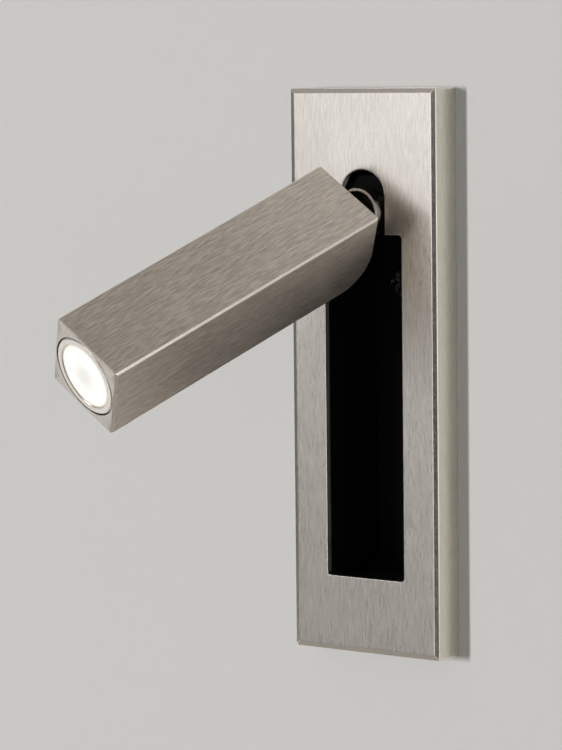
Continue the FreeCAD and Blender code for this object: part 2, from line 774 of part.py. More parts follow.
def knuckle():
    """The folding block, drawn about the flip pin: barrel, stem housing and the switch cam."""
    owner = body("knuckle")
    pad(owner, circle(sketch(owner, "YZ"), "0", "0", "barrel_radius"), "knuckle_half * 2", midplane=True)
    housing = polygon(sketch(owner, "YZ"), [
        ("housing_front", "0"), ("housing_front", "housing_low + knuckle_edge"),
        ("housing_front + knuckle_edge", "housing_low"), ("housing_back - knuckle_edge", "housing_low"),
        ("housing_back", "housing_low + knuckle_edge"), ("housing_back", "0")])
    pad(owner, housing, "knuckle_half * 2", midplane=True)
    steps = ["cam_top_angle * %d / 3" % i for i in range(4)]
    arc = [("cam_radius * cos(%s)" % a, "cam_radius * sin(%s)" % a) for a in steps]
    foot = ("(barrel_radius - fit_clear) * cos(cam_foot_angle)",
            "(barrel_radius - fit_clear) * sin(cam_foot_angle)")
    pad(owner, polygon(sketch(owner, "YZ"), [("0", "0")] + arc + [foot]), "cam_half * 2", midplane=True)
    flat = rectangle(sketch(owner, "YZ"), ("-2 * barrel_radius", "housing_front"),
                     ("-2 * barrel_radius", "2 * barrel_radius"))
    pocket(owner, flat, "knuckle_half * 4", midplane=True)
    pocket(owner, circle(sketch(owner, "YZ"), "0", "0", "flip_pin_radius + run_clear"),
           "knuckle_half * 4", midplane=True)
    pocket(owner, circle(sketch(owner, "XZ"), "0", "stem_z", "stem_radius + run_clear"),
           "knuckle_depth * 6", midplane=True)
    pocket(owner, circle(sketch(owner, "XZ", "-housing_back"), "0", "stem_z", "ring_radius + ring_room"),
           "knuckle_depth")
    stop = circle(sketch(owner, "XZ", "-housing_front"), "0", "stem_z + stop_circle",
                  "stop_radius + fit_clear")
    pocket(owner, stop, "stop_depth * 2")
    node("knuckle", owner, frame=FLIP_FRAME)
    peg = rod("stop_peg", "y", ("0", "stem_z + stop_circle"),
              ("housing_front - washer_thick - stop_depth + stop_track",
               "housing_front + stop_depth * 2 - run_clear"), "stop_radius")
    node("stop_pin", peg, frame=FLIP_FRAME)


# ---- swivel collar -----------------------------------------------------------------------------------

def swivel_collar():
    """A turned cup on a hollow stem. A track in its back leaves one rib that meets the stop pin."""
    owner = body("swivel_collar")
    rim = "-collar_rim"
    inside = "collar_radius - collar_wall"
    clip_end = "clip_start + ring_thick"
    neck = "stem_radius - stem_groove"
    floor = "collar_back - collar_floor"
    profile = [("stem_hollow", floor), (inside, floor),
               (inside, rim + " + rim_edge"), (inside + " + rim_edge", rim),
               ("collar_radius - rim_edge", rim), ("collar_radius", rim + " + rim_edge"),
               ("collar_radius", "collar_back"), ("stem_radius", "collar_back"),
               ("stem_radius", "clip_start"),
               (neck, "clip_start"), (neck, clip_end), ("stem_radius", clip_end),
               ("stem_radius", "stem_end"), ("stem_hollow", "stem_end")]
    revolve(owner, polygon(sketch(owner, "XY"), profile))
    cross = circle(sketch(owner, "YZ"), "0", "0", "tilt_pin_radius + fit_clear")
    pocket(owner, cross, "collar_radius * 4", midplane=True)
    track_out = "stop_circle + stop_radius + stop_track"
    track_in = "stop_circle - stop_radius - stop_track"
    ring = sketch(owner, "XZ", "-collar_back")
    circle(circle(ring, "0", "0", track_out), "0", "0", track_in)
    pocket(owner, ring, "stop_depth", backwards=True)
    rib = sketch(owner, "XZ", "-collar_back")
    steps = ("-stop_rib", "stop_rib")
    low = track_in + " - stop_track"
    high = track_out + " + stop_track"
    inner = [("(%s) * sin(%s)" % (low, a), "-(%s) * cos(%s)" % (low, a)) for a in steps]
    outer = [("(%s) * sin(%s)" % (high, a), "-(%s) * cos(%s)" % (high, a)) for a in steps[::-1]]
    pad(owner, polygon(rib, inner + outer), "stop_depth")
    node("swivel_collar", owner, frame=SWIVEL_FRAME)
    node("tilt_pin", rod("tilt_rod", "x", ("0", "0"), ("-pin_reach", "pin_reach"), "tilt_pin_radius"),
         frame=SWIVEL_FRAME)
    spacers = [tube("spacer_" + right, "x", ("0", "0"), (low, high), "spacer_radius",
                    "tilt_pin_radius + fit_clear")
               for right, low, high in sides("tongue_half + run_clear", "spacer_end")]
    node("tilt_spacers", *spacers, frame=SWIVEL_FRAME)
    node("thrust_washer", tube("thrust_ring", "y", ("0", "0"),
                               ("collar_back", "collar_back + washer_thick"),
                               "washer_radius", "stem_radius + fit_clear"), frame=SWIVEL_FRAME)
    node("stem_ring", tube("stem_clip", "y", ("0", "0"),
                           ("clip_start + fit_clear", clip_end + " - fit_clear"),
                           "ring_radius", neck + " + fit_clear"), frame=SWIVEL_FRAME)


# ---- arm -------------------------------------------------------------------------------------------

def arm_shell():
    """A square bar, bored from its tip, with a rounded heel and lightly broken long edges."""
    owner = body("arm_shell")
    half = "arm_side / 2"
    outline = rectangle(sketch(owner, "YZ"), ("tip", "rear"), ("-" + half, half))
    bar = pad(owner, outline, "arm_side", midplane=True)
    rear = value("rear")
    low = -value(half)
    heel = edges_where(bar, lambda e: all(near(y, rear) for y in ends(e, "y"))
                       and all(near(z, low) for z in ends(e, "z")))
    bar = round_edges(owner, bar, heel, "arm_heel")
    tip = value("tip")
    side = value(half)
    on_side = edges_where(bar, lambda e: all(near(abs(x), side) for x in ends(e, "x"))
                          and near(ends(e, "x")[0], ends(e, "x")[-1])
                          and not all(near(y, tip) for y in ends(e, "y")))
    bar = bevel_edges(owner, bar, on_side, "arm_edge")
    at_tip = edges_where(bar, lambda e: all(near(y, tip) for y in ends(e, "y")))
    bar = bevel_edges(owner, bar, at_tip, "tip_edge")
    bore = polygon(sketch(owner, "XY"), [
        ("0", "tip - past"), ("bezel_bore", "tip - past"), ("bezel_bore", "seat"), ("arm_bore", "seat"),
        ("arm_bore", "rear - heel_depth"), ("tongue_radius + fit_clear", "rear - heel_depth"),
        ("tongue_radius + fit_clear", "rear + past"), ("0", "rear + past")])
    revolve(owner, bore, "PartDesign::Groove")
    node("arm_shell", owner, frame=ARM_FRAME)


def bezel_ring():
    """The bright ring that holds the lens, with a flared inside edge."""
    owner = body("bezel_ring")
    outer = "bezel_bore - bezel_gap"
    back = "seat - fit_clear"
    profile = [("bezel_open", back), ("bezel_open", "tip + bezel_land"), ("bezel_open + bezel_lip", "tip"),
               (outer + " - bezel_flare", "tip"), (outer, "tip + bezel_flare"), (outer, back)]
    revolve(owner, polygon(sketch(owner, "XY"), profile))
    node("bezel_ring", owner, frame=ARM_FRAME)


def lens():
    """A moulded lens: domed front in the ring, a flange behind it, and a cone towards the diode."""
    owner = body("lens")
    face = "(bezel_open - lens_gap)"
    shares = (1, 0.75, 0.5, 0.25, 0)
    dome = [("%s * %s" % (face, k), "tip + lens_inset - lens_dome * %s" % (1 - k * k)) for k in shares]
    skirt = ("inner_radius - lens_skirt", "seat + lens_flange")
    profile = [("0", "cone_end"), ("lens_foot", "cone_end"), skirt, ("inner_radius", "seat + lens_flange"),
               ("inner_radius", "seat"), (face, "seat")]
    revolve(owner, polygon(sketch(owner, "XY"), profile + dome))
    node("lens", owner, frame=ARM_FRAME)


def lens_holder():
    """The cup behind the lens, open in the middle for the diode, with room for two screw heads."""
    owner = body("lens_holder")
    front = "seat + lens_flange + fit_clear"
    mouth = "inner_radius - lens_skirt + lens_gap"
    hole = "led_radius + lead_gap"
    profile = [(mouth, front), ("inner_radius", front), ("inner_radius", "led_back"), (hole, "led_back"),
               (hole, "cone_end")]
    revolve(owner, polygon(sketch(owner, "XY"), profile))
    for up in (1, -1):
        head = circle(sketch(owner, "XZ", "-led_back"), "0", "%d * wire_offset" % up,
                      "screw_head + lens_gap")
        pocket(owner, head, "led_screw_head + lens_gap", backwards=True)
    node("lens_holder", owner, frame=ARM_FRAME)


def led():
    """The diode, its metal-core board, and the two screws that hold the board to the heat sink."""
    node("led_chip", rod("chip", "y", ("0", "0"), ("led_back - led_height", "led_back"), "led_radius"),
         frame=ARM_FRAME)
    disc = rod("led_disc", "y", ("0", "0"), ("led_back", "sink_front"), "inner_radius")
    holes = [rod("disc_way", "y", ("wire_offset", "0"), ("led_back - past", "sink_front + past"),
                 "wire_way")]
    screws = []
    for up in (1, -1):
        at = ("0", "%d * wire_offset" % up)
        holes.append(rod("disc_hole_%d" % (up + 1), "y", at, ("led_back - past", "sink_front + past"),
                         "screw_radius + fit_clear"))
        screws.append(screw("led_screw_%d" % (up + 1), at, "led_back", "led_board_thick + led_thread",
                            "screw_head", "led_screw_head"))
    node("led_board", cut("disc_whole", disc, *holes), frame=ARM_FRAME)
    node("led_screws", *screws, frame=ARM_FRAME)


def heat_sink():
    """A turned slug with ring fins, a way for the leads and two tapped holes."""
    owner = body("heat_sink")
    pad(owner, circle(sketch(owner, "XZ", "-sink_front"), "0", "0", "inner_radius"), "sink_length",
        backwards=True)
    low = "sink_front + fin_pitch"
    gap = polygon(sketch(owner, "XY"), [
        ("sink_core", low), ("arm_bore + past", low), ("arm_bore + past", low + " + fin_gap"),
        ("sink_core", low + " + fin_gap")])
    groove = revolve(owner, gap, "PartDesign::Groove")
    fins = owner.newObject("PartDesign::LinearPattern", "sink_fins")
    fins.Originals = [groove]
    fins.Direction = (gap, ["V_Axis"])
    fins.setExpression("Length", bound("fin_pitch * (fin_count - 1)"))
    fins.setExpression("Occurrences", bound("fin_count"))
    owner.Tip = fins
    pocket(owner, circle(sketch(owner, "XZ"), "wire_offset", "0", "wire_way"),
           "arm_length * 4", midplane=True)
    taps = sketch(owner, "XZ", "-sink_front")
    for up in (1, -1):
        circle(taps, "0", "%d * wire_offset" % up, "screw_radius + fit_clear")
    pocket(owner, taps, "led_thread + screw_radius")
    node("heat_sink", owner, frame=ARM_FRAME)


def tilt_tongue():
    """The eye on the tilt pin and its hollow tail, which is drawn up by a nut inside the arm."""
    eye = rod("tongue_eye_disc", "x", ("0", "0"), ("-tongue_half", "tongue_half"), "tongue_eye")
    tail_end = "rear - heel_depth - tongue_tail"
    tail = rod("tongue_tail_rod", "y", ("0", "0"), (tail_end, "0"), "tongue_radius")
    hole = rod("tongue_pin_hole", "x", ("0", "0"), ("-tongue_half - past", "tongue_half + past"), "pin_hole")
    hollow = rod("tongue_way", "y", ("0", "0"), (tail_end + " - past", "-tongue_eye - run_clear"),
                 "tongue_hollow")
    node("tilt_tongue", cut("tongue_whole", fuse("tongue_all", eye, tail), hole, hollow), frame=ARM_FRAME)
    span = ("rear - heel_depth - nut_height", "rear - heel_depth")
    nut = rod("tongue_nut_hex", "y", ("0", "0"), span, "nut_radius", "Part::Prism")
    bore = rod("tongue_nut_bore", "y", ("0", "0"), (span[0] + " - past", span[1] + " + past"),
               "tongue_radius + fit_clear")
    node("tongue_nut", cut("tongue_nut_whole", nut, bore), frame=ARM_FRAME)


def wire(points, share=0.45):
    """Straight runs through the points, joined by tangent arcs as large as the runs allow."""
    edges = []
    start = points[0]
    for before, corner, after in zip(points, points[1:], points[2:]):
        into = (corner - before).normalize()
        out = (after - corner).normalize()
        run = min((corner - before).Length, (after - corner).Length)
        half_turn = into.getAngle(out) / 2
        radius = share * run / math.tan(half_turn)
        reach = radius * math.tan(half_turn)
        first = corner - into * reach
        last = corner + out * reach
        inward = (out - into).normalize()
        middle = corner + inward * (radius / math.cos(half_turn) - radius)
        edges.append(Part.LineSegment(start, first).toShape())
        edges.append(Part.Arc(first, middle, last).toShape())
        start = last
    edges.append(Part.LineSegment(start, points[-1]).toShape())
    return Part.Wire(edges)


def lead(name, points, radius):
    """A round lead along a route; its volume is compared with its section times its length."""
    route = wire([FreeCAD.Vector(*point) for point in points])
    start = route.Edges[0]
    round_end = Part.Circle(start.Vertexes[0].Point, start.tangentAt(start.FirstParameter), radius)
    solid = Part.Wire(round_end.toShape())
    shape = route.makePipeShell([solid], True, True)
    expected = math.pi * radius ** 2 * route.Length
    if abs(shape.Volume - expected) > 0.02 * expected:
        raise ValueError(name + " has a volume that doesn't match its length")
    thing = doc.addObject("Part::Feature", name)
    thing.Shape = shape
    return thing


def lamp_leads():
    """Two leads from the diode's board, past the fins and into the tongue's hollow tail."""
    radius = value("lead_radius")
    apart = value("lead_radius + lead_gap / 2")
    out = value("wire_offset")
    pieces = []
    for side in (1, -1):
        points = [(out + side * apart, value("sink_front + fit_clear"), 0),
                  (out + side * apart, value("sink_back + wire_offset"), 0),
                  (side * apart, value("rear - heel_depth - tongue_tail - wire_offset"), 0),
                  (side * apart, value("rear - heel_depth"), 0)]
        pieces.append(lead("lamp_lead_%d" % (side + 1), points, radius))
    node("lamp_leads", *pieces, frame=ARM_FRAME)


# ---- driver ------------------------------------------------------------------------------------------

def driver_tray():
    """A plate on the liner's back with posts for the board, held by two screws in the recess."""
    plate = block("tray_plate", ("-tray_half", "tray_half"), ("liner_back", "tray_back"),
                  ("board_low - tray_rim", "open_high - lug_width"))
    board = block("board_slab", ("-board_half", "board_half"), ("board_y", "parts_y"),
                  ("board_low", "board_high"))
    posts = []
    holes = []
    board_holes = []
    board_screws = []
    tray_screws = []
    tap = "screw_radius + fit_clear"
    for right in (1, -1):
        for z in ("board_low + post_edge", "board_high - post_edge"):
            at = ("%d * (board_half - post_radius)" % right, z)
            tag = "post_%d_%d" % (right + 1, len(posts))
            posts.append(rod(tag, "y", at, ("tray_back - merge", "board_y"), "post_radius"))
            holes.append(rod(tag + "_hole", "y", at, ("tray_back", "board_y + past"), tap))
            board_holes.append(rod(tag + "_pass", "y", at, ("board_y - past", "parts_y + past"), tap))
            board_screws.append(screw(tag + "_screw", at, "parts_y", "board_thick + post_bite", way=-1))
        at = ("%d * recess_screw_side" % right, "open_high - recess_screw_low")
        tag = "tray_%d" % (right + 1)
        posts.append(rod(tag + "_boss", "y", at, ("liner_back", "board_y"), "post_radius"))
        holes.append(rod(tag + "_boss_hole", "y", at, ("liner_back - past", "board_y - past"), tap))
        tray_screws.append(screw(tag + "_screw", at, "floor_y", "liner_wall + tray_thick",
                                 "recess_head", "recess_head_height"))
    node("driver_tray", cut("tray_whole", fuse("tray_all", plate, *posts), *holes))
    node("tray_screws", *tray_screws)
    node("driver_board", cut("board_whole", board, *board_holes))
    node("board_screws", *board_screws)


def terminals():
    """The three-way block for the mains lead, and its clamping screws."""
    case = block("terminal_case", ("-block_half", "block_half"), ("parts_y", "parts_y + block_side"),
                 ("block_low", "block_low + block_side"))
    holes = []
    screws = []
    for i in (-1, 0, 1):
        x = "%d * way_pitch" % i
        well = (x, "block_low + block_side / 2")
        seat = "parts_y + way_rise + way_radius + fit_clear"
        well_start = "parts_y + way_rise + way_radius / 2"
        holes.append(rod("terminal_way_%d" % (i + 1), "z", (x, "parts_y + way_rise"),
                         ("block_low - past", "block_low + way_depth"), "way_radius"))
        holes.append(rod("terminal_well_%d" % (i + 1), "y", well,
                         (well_start, "parts_y + block_side + past"), "well_radius"))
        screws.append(rod("terminal_screw_%d" % (i + 1), "y", well, (seat, seat + " + clamp_length"),
                          "well_radius - fit_clear"))
    node("terminal_block", cut("terminal_whole", case, *holes))
    node("terminal_screws", *screws)


def transformer():
    """A ferrite frame with three legs, and the wound bobbin on the middle one."""
    limb = "core_half - core_limb"
    core_front = "parts_y + bobbin_foot"
    window = ("core_low + core_leg", "core_top - core_leg")
    frame = block("core_frame", ("-core_half", "core_half"), (core_front, core_front + " + core_deep"),
                  ("core_low", "core_top"))
    deep = ("parts_y", core_front + " + core_deep + past")
    windows = [block("core_window_" + side, (low, high), deep, window)
               for side, low, high in sides("core_leg", limb)]
    node("transformer_core", cut("core_whole", frame, *windows))
    bobbin = block("bobbin_block", ("bobbin_gap - (%s)" % limb, limb + " - bobbin_gap"),
                   ("parts_y", core_front + " + core_deep + bobbin_foot"),
                   (window[0] + " + bobbin_gap", window[1] + " - bobbin_gap"))
    leg = block("bobbin_leg", ("-core_leg - bobbin_gap", "core_leg + bobbin_gap"),
                (core_front + " - run_clear", core_front + " + core_deep + run_clear"),
                ("core_low", "core_top"))
    node("transformer_coil", cut("bobbin_whole", bobbin, leg))


def board_parts():
    """The rest of what stands on the driver board: cans, small blocks and a lying resistor."""
    cans = {"input_capacitor": ("-can_side", "can_z", "can_radius", "can_height"),
            "choke": ("can_side", "can_z", "choke_radius", "choke_height"),
            "output_capacitor": ("can_side", "out_z", "out_radius", "out_height")}
    for name, (x, z, radius, height) in cans.items():
        node(name, rod(name + "_can", "y", (x, z), ("parts_y", "parts_y + " + height), radius))
    chip_end = "board_high - board_rim"
    film = ("out_z - film_half", "out_z + film_half")
    bridge = ("fuse_low", "fuse_low + bridge_side")
    chip = (chip_end + " - chip_long", chip_end)
    slabs = {"film_capacitor": ("-film_side", "film_thick", "film_height", film),
             "bridge_rectifier": ("0", "bridge_side", "bridge_height", bridge),
             "driver_chip": ("-chip_side", "chip_wide", "chip_height", chip)}
    for name, (x, wide, height, z) in slabs.items():
        span = ("(%s) - %s / 2" % (x, wide), "(%s) + %s / 2" % (x, wide))
        node(name, block(name + "_slab", span, ("parts_y", "parts_y + " + height), z))
    node("fuse_resistor", rod("fuse_rod", "z", ("-fuse_side", "parts_y + fuse_radius"),
                              ("fuse_low", "fuse_low + fuse_length"), "fuse_radius"))


def output_leads():
    """Two leads from the board, up behind the liner and forward through a grommet into the bay."""
    radius = value("lead_radius")
    apart = value("lead_radius + lead_gap / 2")
    board = value("parts_y")
    loop = value("parts_y + lead_loop")
    start = value("lead_z")
    rise = value("lead_hole_z")
    front = value("floor_y - 2 * liner_wall")
    pieces = []
    for side in (1, -1):
        x = side * apart
        points = [(x, board, start), (x, loop, start), (x, loop, rise), (x, front, rise)]
        pieces.append(lead("output_lead_%d" % (side + 1), points, radius))
    node("output_leads", *pieces)
    node("lead_grommet", tube("lead_grommet_ring", "y", ("0", "lead_hole_z"),
                              ("floor_y - grommet_proud", "liner_back + grommet_proud"), "post_radius",
                              "2 * (lead_radius + lead_gap)"))


def export():
    """Checks every object, then writes one STEP file for each node."""
    doc.recompute()
    broken = [o.Name for o in doc.Objects if {"Invalid", "Error"} & set(o.State)]
    bad = [name for name, piece in nodes.items() if piece.Shape.isNull() or not piece.Shape.isValid()]
    if broken or bad:
        raise RuntimeError("failed: %s %s" % (broken, bad))
    os.makedirs("parts", exist_ok=True)
    for name, piece in nodes.items():
        piece.Shape.exportStep("parts/%s.step" % name)
        print("%-18s solids %d  volume %9.1f" % (name, len(piece.Shape.Solids), piece.Shape.Volume))


fill_sheet()
for make in (faceplate, back_box, cover_clips, box_cover, cable_grommet, pocket_liner,
             liner_screws, hinge_bracket, bracket_fixings, flip_pin, microswitch, knuckle, swivel_collar,
             arm_shell, bezel_ring, lens, lens_holder, led, heat_sink, tilt_tongue, lamp_leads,
             driver_tray, terminals, transformer, board_parts, output_leads):
    make()
export()
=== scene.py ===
# %% [markdown]
# # A recessed bedside reading lamp
# The lamp is an upright plate of satin brushed nickel on a wall. A square spot arm folds out of a black
# recess in it and turns on a small round collar. The solids and their joints come from the CAD frame, and
# this notebook gives them their finish: softly broken edges, brushed metal, moulded plastic and a lit lens.
# The frame is loaded first, because every place below is measured on it.

# %% The frame
import json
import math

import bmesh
import bpy
import numpy as np
from mathutils import Matrix, Vector


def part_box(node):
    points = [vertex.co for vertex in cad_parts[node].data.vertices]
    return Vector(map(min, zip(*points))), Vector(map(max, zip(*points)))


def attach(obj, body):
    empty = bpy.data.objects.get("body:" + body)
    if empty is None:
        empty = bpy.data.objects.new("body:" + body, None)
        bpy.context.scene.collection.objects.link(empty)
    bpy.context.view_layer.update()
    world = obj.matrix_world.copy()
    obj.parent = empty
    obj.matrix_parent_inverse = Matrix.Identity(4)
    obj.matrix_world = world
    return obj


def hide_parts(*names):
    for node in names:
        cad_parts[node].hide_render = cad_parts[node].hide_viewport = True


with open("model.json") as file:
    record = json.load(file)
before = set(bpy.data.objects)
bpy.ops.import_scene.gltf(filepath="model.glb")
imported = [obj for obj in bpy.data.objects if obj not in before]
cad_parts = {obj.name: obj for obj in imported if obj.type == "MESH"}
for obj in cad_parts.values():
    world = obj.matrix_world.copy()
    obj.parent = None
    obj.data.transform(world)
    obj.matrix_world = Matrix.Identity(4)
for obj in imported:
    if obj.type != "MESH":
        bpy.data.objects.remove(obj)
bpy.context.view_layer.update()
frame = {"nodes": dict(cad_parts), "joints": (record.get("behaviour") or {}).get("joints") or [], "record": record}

MM = 0.001
joints = {joint["name"]: joint for joint in frame["joints"]}
body_of_node = {node: body for body, nodes in frame["record"]["behaviour"]["bodies"].items() for node in nodes}
slot_of_node = {part["node"]: part["material_slot"] for part in frame["record"]["subparts"]}

# %% [markdown]
# ## The camera
# The picture looks at the lamp from its right and a little above, through a long lens, so the plate's upright
# edges stay nearly parallel. Azimuth turns the camera about the upright axis, elevation lifts it, and the
# small roll tilts the horizon. The focal length is given for a sensor whose long side is upright.

# %% Camera
AZIMUTH = math.radians(37.15)
ELEVATION = math.radians(5.23)
ROLL = math.radians(-0.65)
DISTANCE = 990.65 * MM
TARGET = Vector((-36.76, 0, -3.16)) * MM
SENSOR = 36.0
FOCAL = 163.58
NEAREST = 10 * MM


def camera_matrix():
    """Columns are the camera's right, up and backward directions, then its place.

    Backward is (sin a cos e, -cos a cos e, sin e) for azimuth a and elevation e. Right and up are turned by
    the roll in their own plane.
    """
    back = Vector((math.sin(AZIMUTH) * math.cos(ELEVATION), -math.cos(AZIMUTH) * math.cos(ELEVATION),
                   math.sin(ELEVATION)))
    level = Vector((math.cos(AZIMUTH), math.sin(AZIMUTH), 0))
    upward = back.cross(level)
    right = level * math.cos(ROLL) + upward * math.sin(ROLL)
    up = upward * math.cos(ROLL) - level * math.sin(ROLL)
    turn = Matrix((right, up, back)).transposed().to_4x4()
    return Matrix.Translation(TARGET + back * DISTANCE) @ turn


camera = bpy.data.objects.new("camera", bpy.data.cameras.new("camera"))
camera.data.sensor_fit = "VERTICAL"
camera.data.sensor_height = SENSOR
camera.data.lens = FOCAL
camera.data.clip_start = NEAREST
camera.matrix_world = camera_matrix()
bpy.context.scene.collection.objects.link(camera)
bpy.context.scene.camera = camera
print("camera at", [round(x / MM, 1) for x in camera.location])

# %% [markdown]
# ## Outlines
# Every real metal edge is broken a little, and catches a thin line of light. So an outline here is a list of
# corners, each with the radius of its own small arc beside it, and `rounded` draws the arcs.

# %% Outlines with rounded corners
ARC_STEPS = 5
SQUARE = np.array([(-1, -1), (1, -1), (1, 1), (-1, 1)])


def rounded(corners, closed=True, steps=ARC_STEPS):
    """An outline in a plane with an arc at each corner; a row is a corner's two coordinates and its radius.

    A corner where the outline turns by a is cut back by r tan(a / 2) along both of its sides, and the arc of
    radius r from one cut to the other is sampled by turning the first cut about the arc's centre. An open
    outline keeps its two ends.
    """
    rows = np.array(corners, float)
    corner, radius = rows[:, :2], rows[:, 2]
    into = corner - np.roll(corner, 1, 0)
    away = np.roll(corner, -1, 0) - corner
    into /= np.linalg.norm(into, axis=1, keepdims=True)
    away /= np.linalg.norm(away, axis=1, keepdims=True)
    turn = np.arctan2(into[:, 0] * away[:, 1] - into[:, 1] * away[:, 0], (into * away).sum(1))
    start = corner - into * (radius * np.tan(np.abs(turn) / 2))[:, None]
    normal = np.stack([-into[:, 1], into[:, 0]], 1) * np.sign(turn)[:, None]
    centre = start + normal * radius[:, None]
    angle = turn[:, None] * np.linspace(0, 1, steps + 1)
    spoke = (start - centre)[:, None, :]
    arc = np.stack([spoke[..., 0] * np.cos(angle) - spoke[..., 1] * np.sin(angle),
                    spoke[..., 0] * np.sin(angle) + spoke[..., 1] * np.cos(angle)], -1) + centre[:, None, :]
    if closed:
        return arc.reshape(-1, 2)
    return np.concatenate([corner[:1], arc[1:-1].reshape(-1, 2), corner[-1:]])


print("points on a rounded square", len(rounded([(x, z, 0.2) for x, z in SQUARE])))

# %% [markdown]
# ## Grids of points
# A turned, bent or cast piece is a surface with two parameters, so it is worked out as one array of points.
# Its rows are outlines, or rings of a turned profile, and its columns run right round. `turned` spins a
# profile, and `quads` ties neighbouring points into faces.

# %% Turned profiles and faces
def turned(profile, count):
    """Spins a profile of (radius, place along the axis) about the Y axis: x = r cos t, z = r sin t."""
    radius, along = np.asarray(profile, float).T
    angle = np.linspace(0, 2 * np.pi, count, endpoint=False)
    grid = [radius[:, None] * np.cos(angle), along[:, None] + 0 * angle, radius[:, None] * np.sin(angle)]
    return np.stack(grid, -1)


def quads(grid):
    """Four indices a face, between neighbouring rows and columns; point (row, column) is row * n + column."""
    rows, columns = grid.shape[:2]
    row, column = np.meshgrid(np.arange(rows - 1), np.arange(columns), indexing="ij")
    after, beside = row + 1, (column + 1) % columns
    corners = [row * columns + column, row * columns + beside, after * columns + beside, after * columns + column]
    return np.stack(corners, -1).reshape(-1, 4)


print("faces on a short tube", len(quads(turned([(1, 0), (1, 1)], 12))))

# %% [markdown]
# ## From grids to objects
# A piece can have several grids, such as a plate's rim and the edge of its opening. They are joined where they
# meet, a pole closes to one point, and the flat faces between two outlines are filled with a plain sheet.
# Normals are made to point outwards, and a weighted normal modifier keeps large flat faces flat beside the
# small arcs of their edges. The object stays at the origin, and its place is in its mesh.

# %% Objects
JOIN = 0.0005 * MM
FLAT_WEIGHT = 60


def flat_fill(shape, axis, place, clear):
    """Fills the open edges that lie in one plane, after taking out what already lies there if asked to."""
    def inside(item):
        return all(abs(v.co[axis] - place) < JOIN for v in item.verts)
    if clear:
        bmesh.ops.delete(shape, geom=[f for f in shape.faces if inside(f)], context="FACES")
    rims = [e for e in shape.edges if e.is_boundary and inside(e)]
    bmesh.ops.triangle_fill(shape, use_beauty=True, edges=rims)


def to_object(name, shape, place=Matrix()):
    """Turns a bmesh into an object whose faces point outwards and shade smoothly."""
    bmesh.ops.recalc_face_normals(shape, faces=shape.faces)
    mesh = bpy.data.meshes.new(name)
    shape.to_mesh(mesh)
    shape.free()
    mesh.transform(place)
    mesh.shade_smooth()
    made = bpy.data.objects.new(name, mesh)
    bpy.context.scene.collection.objects.link(made)
    return made


def surface(name, grids, flats=(), place=Matrix()):
    """Joins grids of points into one object; flats are (axis, place in metres, whether to clear it first)."""
    points = np.concatenate([grid.reshape(-1, 3) for grid in grids]) * MM
    starts = np.cumsum([0] + [grid.shape[0] * grid.shape[1] for grid in grids])
    faces = np.concatenate([quads(grid) + start for grid, start in zip(grids, starts)])
    mesh = bpy.data.meshes.new(name + "_grid")
    mesh.from_pydata(points, [], faces.tolist())
    shape = bmesh.new()
    shape.from_mesh(mesh)
    bpy.data.meshes.remove(mesh)
    bmesh.ops.remove_doubles(shape, verts=shape.verts, dist=JOIN)
    bmesh.ops.dissolve_degenerate(shape, edges=shape.edges, dist=JOIN / 10)
    for axis, at, clear in flats:
        flat_fill(shape, axis, at, clear)
    made = to_object(name, shape, place)
    made.modifiers.new("flat faces", "WEIGHTED_NORMAL").weight = FLAT_WEIGHT
    print(name, "faces", len(made.data.polygons))
    return made


def stands_for(made, *nodes):
    """Puts a piece on the body of the CAD nodes that it stands for, and hides those nodes."""
    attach(made, body_of_node[nodes[0]])
    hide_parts(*nodes)
    return made


# %% [markdown]
# ## Softened copies
# Many small CAD pieces have the right shape already, but their edges are razor sharp and their round faces
# are flat triangles. A copy is merged, its coplanar triangles are joined, and a narrow bevel is put on every
# sharp edge. That is what tumbling or plating does to a stamped or turned part.

# %% Softened copies of CAD nodes
SHARP = math.radians(32)
FLAT = math.radians(0.2)
BEVEL_STEPS = 2


def softened(node, width):
    """A merged copy of a CAD node with a small bevel on its sharp edges; width is in millimetres."""
    shape = bmesh.new()
    shape.from_mesh(frame["nodes"][node].data)
    bmesh.ops.remove_doubles(shape, verts=shape.verts, dist=JOIN)
    bmesh.ops.dissolve_limit(shape, angle_limit=FLAT, verts=shape.verts, edges=shape.edges)
    made = to_object(node + "_soft", shape)
    made.data.set_sharp_from_angle(angle=SHARP)
    bevel = made.modifiers.new("broken edges", "BEVEL")
    bevel.width = width * MM
    bevel.segments = BEVEL_STEPS
    bevel.limit_method = "ANGLE"
    bevel.angle_limit = SHARP
    bevel.use_clamp_overlap = True
    made.modifiers.new("flat faces", "WEIGHTED_NORMAL").keep_sharp = True
    return stands_for(made, node)


# %% [markdown]
# ## Building materials
# Each finish is a small node tree. `add` puts one node in a tree, sets its own options, and gives each input
# a number or a link. Colours are written as the hex codes of a paint chart and turned to linear light, because
# a shader adds light and not screen values.

# %% Colours and nodes
def linear(code):
    """sRGB hex to linear: c / 12.92 near black, and ((c + 0.055) / 1.055) ^ 2.4 above that."""
    part = np.array([int(code[i:i + 2], 16) for i in (1, 3, 5)]) / 255
    light = np.where(part <= 0.04045, part / 12.92, ((part + 0.055) / 1.055) ** 2.4)
    return (*light.tolist(), 1.0)


def fill_in(tree, node, inputs):
    """Gives each named or numbered input of a node a value or a link."""
    for name, value in inputs.items():
        if isinstance(value, bpy.types.NodeSocket):
            tree.links.new(value, node.inputs[name])
        else:
            node.inputs[name].default_value = value


def add(tree, kind, inputs=None, **options):
    """Adds a node of a kind, sets its options and fills in its inputs."""
    made = tree.nodes.new(kind)
    for name, value in options.items():
        setattr(made, name, value)
    fill_in(tree, made, inputs or {})
    return made


